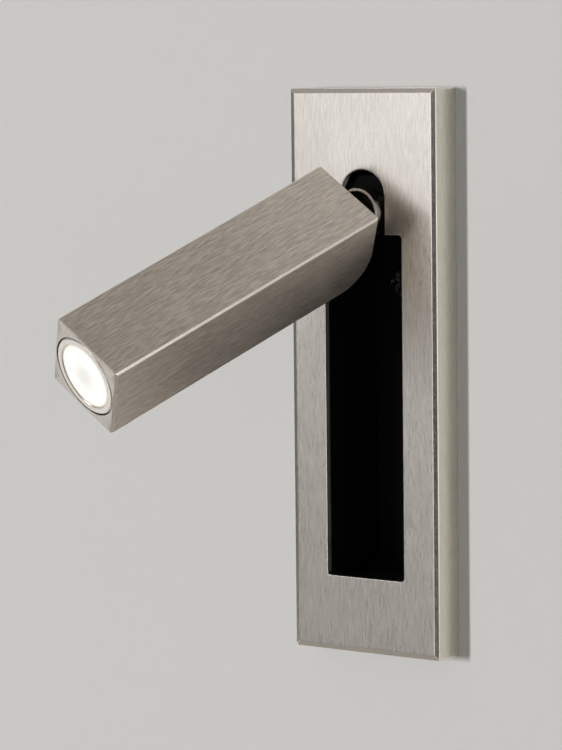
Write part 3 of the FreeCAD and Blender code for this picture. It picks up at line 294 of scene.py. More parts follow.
def start_material(name):
    """An empty material with a Principled shader on its output; returns the material, tree and shader."""
    made = bpy.data.materials.new(name)
    made.use_nodes = True
    tree = made.node_tree
    tree.nodes.clear()
    shader = add(tree, "ShaderNodeBsdfPrincipled")
    add(tree, "ShaderNodeOutputMaterial", {"Surface": shader.outputs[0]})
    return made, tree, shader


print("middle grey, #777777, in linear light is", round(linear("#777777")[0], 3))

# %% [markdown]
# Most patterns start as noise, which has cells of a real size along the axes of a piece. It reads Object
# coordinates, so that it stays on the piece when the piece moves. Nearly all of its values lie between 0.3 and
# 0.7, so that span is what gets stretched to the range that is wanted. Every finish then ends the same way: the
# pattern shades the colour, sets the roughness and raises a fine bump.

# %% Patterns of a real size
NOISE_SPAN = {"From Min": 0.3, "From Max": 0.7}


def noise(tree, place, size, detail=2.0, roughness=0.5):
    """Noise whose cells have a size in millimetres along each of the three axes of place."""
    mapped = add(tree, "ShaderNodeMapping", {
        "Vector": add(tree, "ShaderNodeTexCoord").outputs["Object"], "Location": place.to_translation(),
        "Rotation": place.to_euler(), "Scale": Vector(size) * MM}, vector_type="TEXTURE")
    return add(tree, "ShaderNodeTexNoise", {
        "Vector": mapped.outputs[0], "Scale": 1.0, "Detail": detail, "Roughness": roughness}).outputs["Fac"]


def finish_with(tree, shader, code, shade, rough, height, strength, depth, inputs):
    """Colour times shade, a roughness, a bump of height times depth in millimetres, and inputs of its own."""
    colour = add(tree, "ShaderNodeVectorMath", {0: linear(code)[:3], "Scale": shade}, operation="SCALE")
    relief = add(tree, "ShaderNodeBump", {"Height": height, "Strength": strength, "Distance": depth * MM})
    fill_in(tree, shader, {"Base Color": colour.outputs[0], "Roughness": rough, "Normal": relief.outputs[0],
                           **inputs})


print("noise is stretched from", *NOISE_SPAN.values())

# %% [markdown]
# ## Satin brushed nickel
# The plate and the arm are nickel-plated and then drawn over a belt of fine grit, which leaves hairlines all
# one way. The eye sees two things: thin streaks along the grain, and highlights that smear across it. The
# streaks are stretched noise. The smear is anisotropy, whose tangent is worked out as the surface normal
# crossed with the grain, so that it is right on every side of the piece. Real hairlines are about 0.05 mm
# apart, which is far below one pixel, so they are drawn 0.24 mm apart and some 4 mm long to show.

# %% Brushed nickel
HAIR = (0.24, 4.0)
STREAK = (0.7, 16.0)
STREAK_SHARE = 0.12
CLOUD = 22.0
CLOUD_ROUGH = 0.02
HAIR_DEPTH = 0.004


def brushed(name, code, place, grain, roughness, anisotropy, contrast, metallic=1.0):
    """Brushed metal; place is the piece's frame, and grain the index of its axis that the grain follows.

    The pattern p is mostly hairlines, with a share of streaks. The colour is multiplied by 1 - c + 2 c p for a
    contrast c, and the roughness by 0.9 + 0.2 p, and a slow cloud moves the roughness a little.
    """
    made, tree, shader = start_material(name)
    def cell(across, along):
        return [along if axis == grain else across for axis in range(3)]
    hair = add(tree, "ShaderNodeMapRange", {"Value": noise(tree, place, cell(*HAIR), roughness=0.6), **NOISE_SPAN})
    streak = add(tree, "ShaderNodeMapRange", {"Value": noise(tree, place, cell(*STREAK)), **NOISE_SPAN})
    pattern = add(tree, "ShaderNodeMix", {0: STREAK_SHARE, 2: hair.outputs[0], 3: streak.outputs[0]}).outputs[0]
    shade = add(tree, "ShaderNodeMapRange", {"Value": pattern, "To Min": 1 - contrast, "To Max": 1 + contrast})
    base = add(tree, "ShaderNodeMapRange", {"Value": pattern, "To Min": roughness * 0.9, "To Max": roughness * 1.1})
    cloud = add(tree, "ShaderNodeMapRange", {
        "Value": noise(tree, place, cell(CLOUD, CLOUD), detail=1.0), **NOISE_SPAN, "To Min": -CLOUD_ROUGH,
        "To Max": CLOUD_ROUGH})
    rough = add(tree, "ShaderNodeMath", {0: base.outputs[0], 1: cloud.outputs[0]}, operation="ADD")
    turned_grain = add(tree, "ShaderNodeVectorTransform", {"Vector": place.to_3x3().col[grain]},
                       vector_type="VECTOR", convert_from="OBJECT", convert_to="WORLD")
    normal = add(tree, "ShaderNodeNewGeometry").outputs["Normal"]
    across = add(tree, "ShaderNodeVectorMath", {0: normal, 1: turned_grain.outputs[0]}, operation="CROSS_PRODUCT")
    finish_with(tree, shader, code, shade.outputs[0], rough.outputs[0], pattern, 0.4, HAIR_DEPTH,
                {"Metallic": metallic, "Anisotropic": anisotropy, "Tangent": across.outputs[0]})
    return made


print("hairlines every", HAIR[0], "mm and", HAIR[1], "mm long")


# %% [markdown]
# ## Plain metals, plastics and rubber
# The other metals differ in colour, in how rough they are, and in how fine their pattern is: polished nickel
# has almost none, and zinc plating is slightly cloudy. Moulded plastics have a spark-eroded grain that breaks
# up their gloss. One function covers them: a base colour that varies a little over large cells, and a
# roughness that varies more over small ones, with a fine bump of the same grain.

# %% Mottled finishes
COARSER = 6


def mottled(name, code, size, roughness, metallic=0.0, vary=0.06, rough_vary=0.08, bump=0.01, specular=0.5):
    """A finish with a grain of one size in millimetres: colour times 1 +- vary, roughness +- rough_vary."""
    made, tree, shader = start_material(name)
    coarse = noise(tree, Matrix(), (size * COARSER,) * 3)
    fine = noise(tree, Matrix(), (size,) * 3, detail=4.0)
    shade = add(tree, "ShaderNodeMapRange", {"Value": coarse, **NOISE_SPAN, "To Min": 1 - vary, "To Max": 1 + vary})
    rough = add(tree, "ShaderNodeMapRange", {
        "Value": fine, **NOISE_SPAN, "To Min": roughness - rough_vary, "To Max": roughness + rough_vary})
    finish_with(tree, shader, code, shade.outputs[0], rough.outputs[0], fine, 0.5, bump,
                {"Metallic": metallic, "Specular IOR Level": specular})
    return made


# %% [markdown]
# Hot-dip galvanised sheet, of which the back box is made, has flat crystals a few millimetres wide, called
# spangle. Each crystal is a cell of a Voronoi pattern, with a shade and a gloss of its own.

# %% Galvanised sheet
SPANGLE = 5.0
SHEET_GRAIN = 0.5


def spangled(name, code):
    """Galvanised sheet: a cell's grey g multiplies the colour by 0.86 + 0.22 g and sets the roughness."""
    made, tree, shader = start_material(name)
    place = add(tree, "ShaderNodeTexCoord").outputs["Object"]
    cells = add(tree, "ShaderNodeTexVoronoi", {"Vector": place, "Scale": 1 / (SPANGLE * MM)})
    grey = add(tree, "ShaderNodeSeparateColor", {"Color": cells.outputs["Color"]}).outputs[0]
    shade = add(tree, "ShaderNodeMapRange", {"Value": grey, "To Min": 0.86, "To Max": 1.08}).outputs[0]
    rough = add(tree, "ShaderNodeMapRange", {"Value": grey, "To Min": 0.32, "To Max": 0.5}).outputs[0]
    fine = noise(tree, Matrix(), (SHEET_GRAIN,) * 3)
    finish_with(tree, shader, code, shade, rough, fine, 0.4, 0.01, {"Metallic": 1.0})
    return made


# %% [markdown]
# ## Where the moving pieces stand
# The arm is turned to the side and tilted down, so its own axes are worked out: X is against the tilt axis,
# Y runs back from the lens to the tilt pin, and Z is square to both. The collar shares X and keeps Y level.

# %% Frames of the arm and collar
def points_of(node):
    """All the vertices of a CAD node, as an array."""
    mesh = frame["nodes"][node].data
    flat = np.empty(len(mesh.vertices) * 3)
    mesh.vertices.foreach_get("co", flat)
    return flat.reshape(-1, 3)


def axes_frame(x, y, origin):
    """A matrix whose columns are x, y and their cross product, at an origin."""
    return Matrix.Translation(origin) @ Matrix((x, y, x.cross(y))).transposed().to_4x4()


def span_in(node, place):
    """Lowest and highest corner of a node along the axes of a frame, in millimetres."""
    turn = np.array(place.to_3x3())
    local = (points_of(node) - np.array(place.to_translation())) @ turn / MM
    return local.min(0), local.max(0)


tilt = joints["arm_tilt"]
pivot = Vector(tilt["pos_m"])
across = -Vector(tilt["axis"]).normalized()
ring_points = points_of("bezel_ring")
ring_centre = Vector((ring_points.min(0) + ring_points.max(0)) / 2)
backward = (pivot - ring_centre).normalized()
arm_place = axes_frame(across, backward, pivot)
collar_place = axes_frame(across, Vector((0, 1, 0)), pivot)
arm_low, arm_high = span_in("arm_shell", arm_place)
print("arm, in its own axes, from", arm_low.round(2), "to", arm_high.round(2))

# %% [markdown]
# ## The faceplate
# The plate is cast, and its rim has a shallow bevel. The rim is a set of rectangles that follow the bevel's
# profile, from the face over the edge to the back and round to the inside. Every edge has an arc of a few
# tenths of a millimetre, which draws the bright lines of the rim, and where the face turns into the bevel the
# arc is wide and soft, as casting and brushing leave it.

# %% Rim of the plate
PLATE_SKIN = 2.0
PLATE_WALL = 2.0
BEVEL_FACE = 1.5
BEVEL_SIDE = 0.45
FACE_ARC = 1.7
SIDE_ARC = 0.32
BACK_ARC = 0.15
INNER_ARC = 0.3
CORNER = 0.5
LEAST_CORNER = 0.15
plate_low, plate_high = (np.array(corner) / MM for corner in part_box("faceplate"))


def plate_loops():
    """Rectangles with corner arcs: the profile gives how far each is set in, and how far forward it lies."""
    front, back = plate_low[1], plate_high[1]
    skin = front + PLATE_SKIN
    profile = rounded([(BEVEL_FACE + 1, front, 0), (BEVEL_FACE, front, FACE_ARC),
                       (0, front + BEVEL_SIDE, SIDE_ARC), (0, back, BACK_ARC), (PLATE_WALL, back, BACK_ARC),
                       (PLATE_WALL, skin, INNER_ARC), (PLATE_WALL + 1, skin, 0)], closed=False)
    loops = []
    for inset, depth in profile:
        x, z = plate_high[0] - inset, plate_high[2] - inset
        corner = max(CORNER - inset / 4, LEAST_CORNER)
        loops.append(np.insert(rounded([(i * x, j * z, corner) for i, j in SQUARE]), 1, depth, axis=1))
    return np.array(loops)


print("plate from", plate_low.round(2), "to", plate_high.round(2))

# %% [markdown]
# The opening for the arm is a keyhole: a long slot with a round one over it. Its edge is one outline, repeated
# through the thickness with a small arc at the face. Flat sheets then close the front and the inside of the
# plate between the rim and the opening.

# %% Keyhole and plate
MARGIN_LOW = 21.5
OPEN_HALF = 13.3
OPEN_HIGH = 38.95
SLOT_HALF = 7.6
SLOT_CENTRE = 49.5
OPEN_CORNER = 1.0
STEP_CORNER = 0.25
ARCH_SHORT = 0.01
FLARE = 0.6
KEYHOLE_STEPS = 16


def keyhole(grow):
    """The opening's outline, grown by a margin: a rectangle, and a slot with a round end over it.

    The slot's two upper arcs have its half width as radius, less a hair, so that they meet as a half circle.
    """
    wide, slot, low = OPEN_HALF + grow, SLOT_HALF + grow, plate_low[2] + MARGIN_LOW - grow
    step, top = OPEN_HIGH + grow, SLOT_CENTRE + slot
    corner, arch = OPEN_CORNER + grow, slot - ARCH_SHORT
    right = [(wide, low, corner), (wide, step, corner), (slot, step, STEP_CORNER), (slot, top, arch)]
    return rounded(right + [(-x, z, arc) for x, z, arc in right[::-1]], steps=KEYHOLE_STEPS)


def keyhole_loops():
    """The keyhole through the plate: it is wider by FLARE where it joins the front and inner sheets."""
    front, skin = plate_low[1], plate_low[1] + PLATE_SKIN
    profile = rounded([(FLARE, front, 0), (0, front, 0.26), (0, skin, 0.1), (FLARE, skin, 0)], closed=False)
    return np.array([np.insert(keyhole(grow), 1, depth, axis=1) for grow, depth in profile])


plate = surface("faceplate_skin", [plate_loops(), keyhole_loops()],
                flats=[(1, plate_low[1] * MM, False), (1, (plate_low[1] + PLATE_SKIN) * MM, False)])
stands_for(plate, "faceplate")

# %% [markdown]
# ## The arm
# The arm is a square bar with its long edges milled off, a rounded heel where it swings past the plate, and a
# bore for the lamp. Its side view is one outline: straight at the tip, and an arc at the heel. That outline
# is carried across the bar's width and drawn in near both sides, which makes the milled edges in one go.

# %% Arm
ARM_EDGE = 0.55
EDGE_ARC = 0.16
TIP_EDGE = 0.36
REAR_ARC = 0.35
HEEL = 11.0
HEEL_STEPS = 20
tip, rear, half = arm_low[1], arm_high[1], arm_high[0]


def side_view(inset, tip_inset):
    """The bar's outline from the side, set in by inset, and at the tip by its own smaller inset."""
    low, high, back = inset - half, half - inset, rear - inset
    front = tip + tip_inset
    return rounded([(front, low, TIP_EDGE), (front, high, TIP_EDGE), (back, high, REAR_ARC),
                    (back, low, HEEL - inset)], steps=HEEL_STEPS)


def bar_loops():
    """Side views across the width; the profile is (place across, inset), with arcs at the milled edges."""
    right = [(half, ARM_EDGE + 1, 0), (half, ARM_EDGE, EDGE_ARC), (half - ARM_EDGE, 0, EDGE_ARC)]
    loops = []
    for x, inset in rounded([(-x, inset, arc) for x, inset, arc in right] + right[::-1], closed=False):
        at_tip = np.clip(abs(x) - (half - TIP_EDGE), 0, TIP_EDGE) + max(inset - ARM_EDGE, 0)
        loops.append(np.insert(side_view(inset, at_tip), 0, x, axis=1))
    return np.array(loops)


# %% [markdown]
# The bore is turned into the bar from its tip: a shallow seat for the ring, and a narrower hole for the lamp
# that ends in the heel. Its mouth is a hair wider, where the edge is broken.

# %% Bore and bar
RING_BORE = 11.75
LAMP_BORE = 10.6
RING_DEPTH = 3.0
HEEL_DEPTH = 14.0
MOUTH = 0.3
BORE_SPOKES = 128


def bore_rings():
    """The stepped bore, from its broken edge at the tip to its floor in the heel."""
    seat, floor = tip + RING_DEPTH, rear - HEEL_DEPTH
    profile = rounded([(RING_BORE + MOUTH, tip, 0), (RING_BORE, tip, 0.08), (RING_BORE, seat, 0.05),
                       (LAMP_BORE, seat, 0.05), (LAMP_BORE, floor, 0.3), (0, floor, 0)], closed=False)
    return turned(profile, BORE_SPOKES)


arm = surface("arm_bar", [bar_loops(), bore_rings()],
              flats=[(0, -half * MM, False), (0, half * MM, False), (1, tip * MM, True)], place=arm_place)
stands_for(arm, "arm_shell")

# %% [markdown]
# ## The ring
# A polished ring holds the lens in the tip, with a hairline gap round it that reads as a dark circle. It is a
# closed section, spun round: a flat band, broken at its rim and flared where it meets the lens.

# %% Ring
RING_OPEN = 9.4
RING_LIP = 0.6
RING_FLARE = 0.25
RING_RIM = 0.35
RING_SPOKES = 160
ring_low, ring_high = span_in("bezel_ring", arm_place)


def ring_profile():
    """The ring's section, from its back edge round the lip and the rim; the last point is the first again."""
    outer, front, back = ring_high[0], ring_low[1], ring_high[1]
    section = rounded([(RING_OPEN, back, 0.05), (RING_OPEN, front + RING_LIP, 0.3),
                       (RING_OPEN + RING_FLARE, front, 0.12), (outer - RING_RIM, front, 0.25),
                       (outer, front + RING_RIM, 0.25), (outer, back, 0.05)])
    return np.concatenate([section, section[:1]])


ring = stands_for(surface("lens_ring", [turned(ring_profile(), RING_SPOKES)], place=arm_place), "bezel_ring")

# %% [markdown]
# ## The lens
# The lens is one moulding: a low dome with fine steps like a fresnel, a flange under the ring and a cone that
# gathers the light of the diode behind it.

# %% Lens
RING_GAP = 0.1
LENS_INSET = 0.03
LENS_DOME = 0.15
LENS_EDGE = 0.15
STEP_PITCH = 0.9
STEP_HEIGHT = 0.05
FLANGE_GAP = 0.02
FLANGE_THICK = 2.0
FLANGE_WIDE = 0.8
FOOT = 3.5
CROWN_STEPS = 160
LENS_SPOKES = 128
lens_high = span_in("lens", arm_place)[1]


def lens_profile():
    """From the pole out: a dome that falls back by D (r / R)^2, with a saw-tooth step each pitch.

    Then come the edge, the flange under the ring, the cone and the flat foot on the diode.
    """
    face = RING_OPEN - RING_GAP
    radius = np.linspace(0, face - LENS_EDGE, CROWN_STEPS)
    crown = ring_low[1] + LENS_INSET + LENS_DOME * (radius / face) ** 2
    crown = crown + STEP_HEIGHT * (radius / STEP_PITCH % 1) * (radius > STEP_PITCH)
    seat, flange = ring_high[1] + FLANGE_GAP, lens_high[0]
    rest = rounded([(face - LENS_EDGE, crown[-1], 0), (face, crown[-1] + LENS_EDGE, 0.1), (face, seat, 0.05),
                    (flange, seat, 0.05), (flange, seat + FLANGE_THICK, 0.05),
                    (flange - FLANGE_WIDE, seat + FLANGE_THICK, 0.1), (FOOT, lens_high[1], 0.1),
                    (0, lens_high[1], 0)], closed=False)
    return np.concatenate([np.stack([radius, crown], -1), rest[1:]])


lens = stands_for(surface("lens_moulding", [turned(lens_profile(), LENS_SPOKES)], place=arm_place), "lens")

# %% [markdown]
# ## Screws
# A pan head is a squashed dome with a cross recess pressed into it. The dome is a superellipse, which is
# flat on top and turns quickly at the rim. The recess is a height taken off it near either of two crossing
# lines. Its sizes are shares of the head's radius and height, as they are on real screws.

# %% One pan-head screw
CROSS_WIDTH = 0.16
CROSS_STEEP = 1.6
CROSS_DEPTH = 0.7
CROSS_REACH = 0.62
CROSS_FADE = 0.12
SHANK = 1.0
SHANK_POINT = 0.3
HEAD_RINGS = 26
HEAD_SPOKES = 72


def pan_screw(radius, height, length):
    """Rows from the crown to the shank's end, about Y with the head towards -Y, seat at zero.

    For p from 0 to 90 degrees the dome is r = R sqrt(sin p), h = H sqrt(cos p). The recess takes off H times
    CROSS_DEPTH near either of two crossing lines, less by its walls, and it ends at CROSS_REACH of the radius.
    """
    swing = np.linspace(0, np.pi / 2, HEAD_RINGS)[:, None]
    angle = np.linspace(0, 2 * np.pi, HEAD_SPOKES, endpoint=False)[None, :]
    r = radius * np.sqrt(np.sin(swing)) + 0 * angle
    h = height * np.sqrt(np.clip(np.cos(swing), 0, 1)) + 0 * angle
    x, z = r * np.cos(angle), r * np.sin(angle)
    line = np.minimum(np.abs(x), np.abs(z)) / (CROSS_WIDTH * radius)
    reach = np.clip((CROSS_REACH * radius - r) / (CROSS_FADE * radius), 0, 1)
    h = h - CROSS_DEPTH * height * np.clip(CROSS_STEEP - CROSS_STEEP * line, 0, 1) * reach
    stem = turned([(SHANK, 0), (SHANK, length - SHANK_POINT), (SHANK - SHANK_POINT, length), (0, length)],
                  HEAD_SPOKES)
    return np.concatenate([np.stack([x, -h, z], -1), stem])


print("points on a screw", pan_screw(2.0, 1.3, 5.0).shape[:2])

# %% [markdown]
# Where the screws stand is read from the boxes of the CAD nodes, whose corners the outer heads touch. Two
# broad ones show on the floor of the recess. Four small ones hold the cover at the back of the box.

# %% Screws in their places
HEAD = 2.0
HEAD_HEIGHT = 1.3
TRAY_HEAD = 4.2
TRAY_HEIGHT = 0.9


def screws(name, node, centres, radius, height, length, way=1):
    """One object that holds a screw at each centre; way is -1 for heads that face the other way."""
    grid = pan_screw(radius, height, length) * (1, way, 1)
    return stands_for(surface(name, [grid + np.array(centre) for centre in centres]), node)


def corners_of(node, head):
    """Centres, left and right of the middle, of the screws whose heads touch the corners of a node's box."""
    low, high = (np.array(corner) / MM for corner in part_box(node))
    return low + (head, 0, head), high - (head, 0, head)


low, high = corners_of("tray_screws", TRAY_HEAD)
seat = low[1] + TRAY_HEIGHT
tray_screws = screws("recess_screws", "tray_screws", [(x, seat, low[2]) for x in (low[0], high[0])],
                     TRAY_HEAD, TRAY_HEIGHT, high[1] - seat)
low, high = corners_of("cover_screws", HEAD)
seat = high[1] - HEAD_HEIGHT
cover_screws = screws("lid_screws", "cover_screws", [(x, seat, z) for x in (low[0], high[0])
                                                     for z in (low[2], high[2])],
                      HEAD, HEAD_HEIGHT, seat - low[1], way=-1)

# %% [markdown]
# ## Finishes for every piece
# Each material is named for what the real one is, and the comment over it says what that gives the eye. The
# table has one for each slot of the record, and every piece and CAD node takes the finish of its slot. Real
# tool marks and spark erosion are under 0.1 mm wide, finer than a pixel, so most grains here are 0.3 to 0.5 mm.

# %% Materials
upright = Matrix()
FINISHES = {
    # Hairlines all one way, and highlights that smear across them.
    "plate_nickel": brushed("satin nickel, upright grain", "#CFCAC4", upright, 2, roughness=0.29,
                            anisotropy=0.6, contrast=0.19),
    "arm_nickel": brushed("satin nickel, grain along the arm", "#C6BCB1", arm_place, 1, roughness=0.36,
                          anisotropy=0.6, contrast=0.34, metallic=0.88),
    # A smooth plating that shows the room softly, with no grain.
    "bright_nickel": mottled("polished nickel", "#D8D2CA", 0.4, roughness=0.28, metallic=1.0, vary=0.02,
                             rough_vary=0.03, bump=0.002),
    # Small bought parts: pale bluish and slightly cloudy, or nearly black with a dull gleam, or warm yellow.
    "steel": mottled("zinc-plated steel", "#B9BCC0", 0.5, roughness=0.34, metallic=1.0),
    "dark_screw": mottled("blackened steel", "#4A4A4C", 0.4, roughness=0.3, metallic=1.0),
    "brass": mottled("turned brass", "#C9A45C", 0.3, roughness=0.28, metallic=1.0),
    # Grey patches of crystal, each with its own shine.
    "galvanised": spangled("galvanised sheet", "#A9ADB0"),
    # A sooty black that hardly shines.
    "black_metal": mottled("blackened zinc casting", "#080808", 0.4, roughness=0.6, specular=0.12),
    # Pale grey, with the soft shine of fine tool marks.
    "raw_aluminium": mottled("turned aluminium", "#C3C6C8", 0.3, roughness=0.3, metallic=1.0),
    # The recess: deep black, with a spark-eroded grain that leaves no highlight.
    "black_moulding": mottled("black moulded ABS", "#070707", 0.25, roughness=0.5, rough_vary=0.1, bump=0.02,
                              specular=0.2),
    # Moulded parts inside: a little waxy, clean off-white, or smooth and bright.
    "black_plastic": mottled("black nylon", "#1A1A1B", 0.3, roughness=0.45),
    "white_plastic": mottled("white polycarbonate", "#E6E4DF", 0.3, roughness=0.4, vary=0.02),
    "red_plastic": mottled("red acetal", "#A3241C", 0.3, roughness=0.3),
    # Matt and soft, with no clear reflection.
    "grommet_rubber": mottled("black rubber", "#161616", 0.3, roughness=0.7, bump=0.03),
    # The diode's flat yellow face, and the lacquer over its board and the driver's.
    "diode": mottled("phosphor", "#F0DC7A", 0.3, roughness=0.5),
    "metal_board": mottled("white solder mask", "#E4E6E6", 0.3, roughness=0.35, vary=0.02),
    "board_green": mottled("green solder mask", "#1C5A38", 0.4, roughness=0.3, vary=0.1),
    # The driver's parts: dull pressed ferrite, shiny wound tape, sleeves and dipped or lacquered bodies.
    "ferrite": mottled("pressed ferrite", "#2C2C2F", 0.25, roughness=0.55, bump=0.03),
    "coil_tape": mottled("polyester tape", "#D8B63A", 0.6, roughness=0.25),
    "can_sleeve": mottled("PVC sleeve", "#1B2340", 0.4, roughness=0.3),
    "film_yellow": mottled("dipped epoxy", "#D6A91E", 0.3, roughness=0.3),
    "resistor_body": mottled("lacquered ceramic", "#86A89F", 0.3, roughness=0.35),
    # Smooth soft plastic on a wire.
    "lead_sheath": mottled("PVC wire sheath", "#9A1E18", 0.3, roughness=0.4),
}
print("finishes", len(FINISHES))

# %% [markdown]
# The lens is lit from behind. It glows as bright as a white page over most of its face, a little less in the
# middle, where the moulded lens gathers the light, and it falls off at the rim, where only stray light gets.
# The glow is an emission whose strength depends on the distance from the arm's axis, and the clear surface
# over it still has its own gloss.

# %% Lit lens
GLOW = 0.8
GLOW_MIDDLE = 0.5
GLOW_RIM = 0.5
MIDDLE_FROM, MIDDLE_TO = 0.15, 0.72
RIM_FROM = 0.86
ENDLESS = 1e3


def lit_lens(name):
    """Emission by distance from the arm's axis, as a share of the lens's radius, under a clear gloss.

    From GLOW_MIDDLE at MIDDLE_FROM it rises in a straight line to GLOW at MIDDLE_TO, and past RIM_FROM it falls
    smoothly to GLOW_RIM. The endless scale leaves the distance along the axis out of the sum.
    """
    made, tree, shader = start_material(name)
    mapped = add(tree, "ShaderNodeMapping", {
        "Vector": add(tree, "ShaderNodeTexCoord").outputs["Object"], "Location": arm_place.to_translation(),
        "Rotation": arm_place.to_euler(), "Scale": (RING_OPEN * MM, ENDLESS, RING_OPEN * MM)},
        vector_type="TEXTURE")
    away = add(tree, "ShaderNodeVectorMath", {0: mapped.outputs[0]}, operation="LENGTH").outputs["Value"]
    outer = add(tree, "ShaderNodeMapRange", {
        "Value": away, "From Min": RIM_FROM, "To Min": GLOW, "To Max": GLOW_RIM}, interpolation_type="SMOOTHSTEP")
    middle = add(tree, "ShaderNodeMapRange", {
        "Value": away, "From Min": MIDDLE_FROM, "From Max": MIDDLE_TO, "To Min": GLOW_MIDDLE / GLOW})
    glow = add(tree, "ShaderNodeMath", {0: outer.outputs[0], 1: middle.outputs[0]}, operation="MULTIPLY")
    warmth = add(tree, "ShaderNodeMix", {0: away, 6: linear("#FFFFFF"), 7: linear("#FFF8EE")}, data_type="RGBA")
    fill_in(tree, shader, {"Base Color": linear("#98968F"), "Roughness": 0.12,
                           "Emission Color": warmth.outputs[2], "Emission Strength": glow.outputs[0]})
    return made


FINISHES["lens"] = lit_lens("lit polycarbonate lens")
print("the lens glows at", GLOW, "and at", GLOW_MIDDLE, "in its middle")

# %% [markdown]
# ## Pieces with more than one finish
# The milled edges of the plate and the arm are cut after brushing, so they are smooth, and they show a thin line
# of the brightest thing in the room; their lighter colour is a painted highlight on that line. The narrow sides
# of the plate and the tip of the arm were finished apart from the wide faces, so their grain is calmer. The
# plate's sides are painted paler, which is painted light, and the tip, faced on a lathe, is slightly darker.
# All of them are picked out by the way their faces point.

# %% Finishes by the way faces point
SQUARE_ON = 0.985
# The milled edges are smoother than the brushed faces, and their lighter colour is a painted highlight.
MILLED_EDGE_PAINTED_HIGHLIGHT = mottled("nickel, milled edge with painted highlight", "#ECE4DB", 0.4, roughness=0.2, metallic=1.0, vary=0.02, rough_vary=0.04,
                 bump=0.002)
# The plate's sides keep the calmer grain of their own finish, and their paler colour is painted light.
PLATE_SIDE_PAINTED_PALER = brushed("satin nickel, plate side painted paler", "#EDE9DC", upright, 2, roughness=0.32, anisotropy=0.5,
                     contrast=0.10)
FACED_TIP = brushed("satin nickel, faced tip", "#C0BCB4", arm_place, 2, roughness=0.34, anisotropy=0.3,
                    contrast=0.20)


def normals_of(thing):
    """The unit normals of a piece's faces, one row each."""
    flat = np.empty(len(thing.data.polygons) * 3)
    thing.data.polygons.foreach_get("normal", flat)
    return flat.reshape(-1, 3)


def edges_of(thing, place=Matrix(), sideways=0.0):
    """Picks faces whose normals lie between the axes of place and lean by at least a share to its X."""
    lean = np.abs(normals_of(thing) @ np.array(place.to_3x3()))
    return (lean.max(1) < SQUARE_ON) & (lean[:, 0] >= sideways)


def facing(thing, direction):
    """Picks the flat faces that point in one direction."""
    return normals_of(thing) @ np.array(direction) > SQUARE_ON


def refinish(thing, picked, material):
    """Gives the picked faces a finish of their own; picked has a yes or no for each face."""
    mesh = thing.data
    index = np.empty(len(mesh.polygons), np.int32)
    mesh.polygons.foreach_get("material_index", index)
    if material.name not in mesh.materials:
        mesh.materials.append(material)
    index[picked] = mesh.materials.find(material.name)
    mesh.polygons.foreach_set("material_index", index)
    print(thing.name, "has", material.name, "on", int(picked.sum()), "faces")


# %% [markdown]
# The collar has a polished nickel rim. Behind the rim and inside it, where the collar lies in the shaded slot,
# it is painted a dark olive black: painted shade. The rim is picked out by its place: outside a small radius, and
# for a short way back from its face.

# %% Collar
RIM_DEPTH = 2.2
RIM_INSIDE = 6.05
RIM_FADE = 0.1
collar_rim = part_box("swivel_collar")[0][1] / MM


def collar_with_painted_shade(name, bright, black):
    """A mix of two colours: black, as painted shade, where a point is behind the rim or within it, bright
    elsewhere.
    """
    made, tree, shader = start_material(name)
    place = add(tree, "ShaderNodeTexCoord").outputs["Object"]
    back = add(tree, "ShaderNodeSeparateXYZ", {0: place}).outputs[1]
    behind = add(tree, "ShaderNodeMapRange", {
        "Value": back, "From Min": (collar_rim + RIM_DEPTH) * MM,
        "From Max": (collar_rim + RIM_DEPTH + RIM_FADE) * MM})
    flat = add(tree, "ShaderNodeMapping", {
        "Vector": place, "Location": collar_place.to_translation(), "Scale": (MM, ENDLESS, MM)},
        vector_type="TEXTURE")
    radius = add(tree, "ShaderNodeVectorMath", {0: flat.outputs[0]}, operation="LENGTH").outputs["Value"]
    within = add(tree, "ShaderNodeMapRange", {
        "Value": radius, "From Min": RIM_INSIDE, "From Max": RIM_INSIDE + RIM_FADE, "To Min": 1.0, "To Max": 0.0})
    painted_shade = add(tree, "ShaderNodeMath", {0: behind.outputs[0], 1: within.outputs[0]}, operation="MAXIMUM").outputs[0]
    colour = add(tree, "ShaderNodeMix", {0: painted_shade, 6: linear(bright), 7: linear(black)}, data_type="RGBA")
    rough = add(tree, "ShaderNodeMapRange", {"Value": painted_shade, "To Min": 0.16, "To Max": 0.4}).outputs[0]
    fill_in(tree, shader, {"Base Color": colour.outputs[2], "Metallic": 1.0, "Roughness": rough})
    return made


# The dark colour behind the rim and inside it is painted shade.
COLLAR_WITH_PAINTED_SHADE = collar_with_painted_shade("nickel collar with painted shade behind its rim", "#D8D3CB", "#4A4736")
print("the rim starts at", round(float(collar_rim), 2), "mm and is", RIM_DEPTH, "mm deep")

# %% [markdown]
# ## Dressing every piece
# Pieces that can be seen, or that show when the lamp is taken off the wall, get a softened copy. The ones that
# are sealed inside keep their CAD shape and take their finish directly.

# %% Softened pieces and finishes
SOFT_WIDTHS = {
    "swivel_collar": 0.12, "tilt_pin": 0.15, "tilt_tongue": 0.12, "tilt_spacers": 0.1, "knuckle": 0.2,
    "thrust_washer": 0.08, "hinge_bracket": 0.12, "pocket_liner": 0.18, "back_box": 0.2, "box_cover": 0.2,
    "cable_grommet": 0.5, "cover_clips": 0.06, "liner_screws": 0.15, "clip_rivets": 0.12, "switch_body": 0.15,
    "flip_pin": 0.12, "pin_clips": 0.08, "lead_grommet": 0.2,
}
ARM_SIDEWAYS = 0.15  # leaves out the arc of the heel
copies = {node: softened(node, width) for node, width in SOFT_WIDTHS.items()}
new_pieces = {"faceplate": plate, "arm_shell": arm, "bezel_ring": ring, "lens": lens,
              "tray_screws": tray_screws, "cover_screws": cover_screws}
for things in (frame["nodes"], copies, new_pieces):
    for node, thing in things.items():
        thing.data.materials.clear()
        thing.data.materials.append(FINISHES[slot_of_node[node]])
copies["swivel_collar"].data.materials[0] = COLLAR_WITH_PAINTED_SHADE
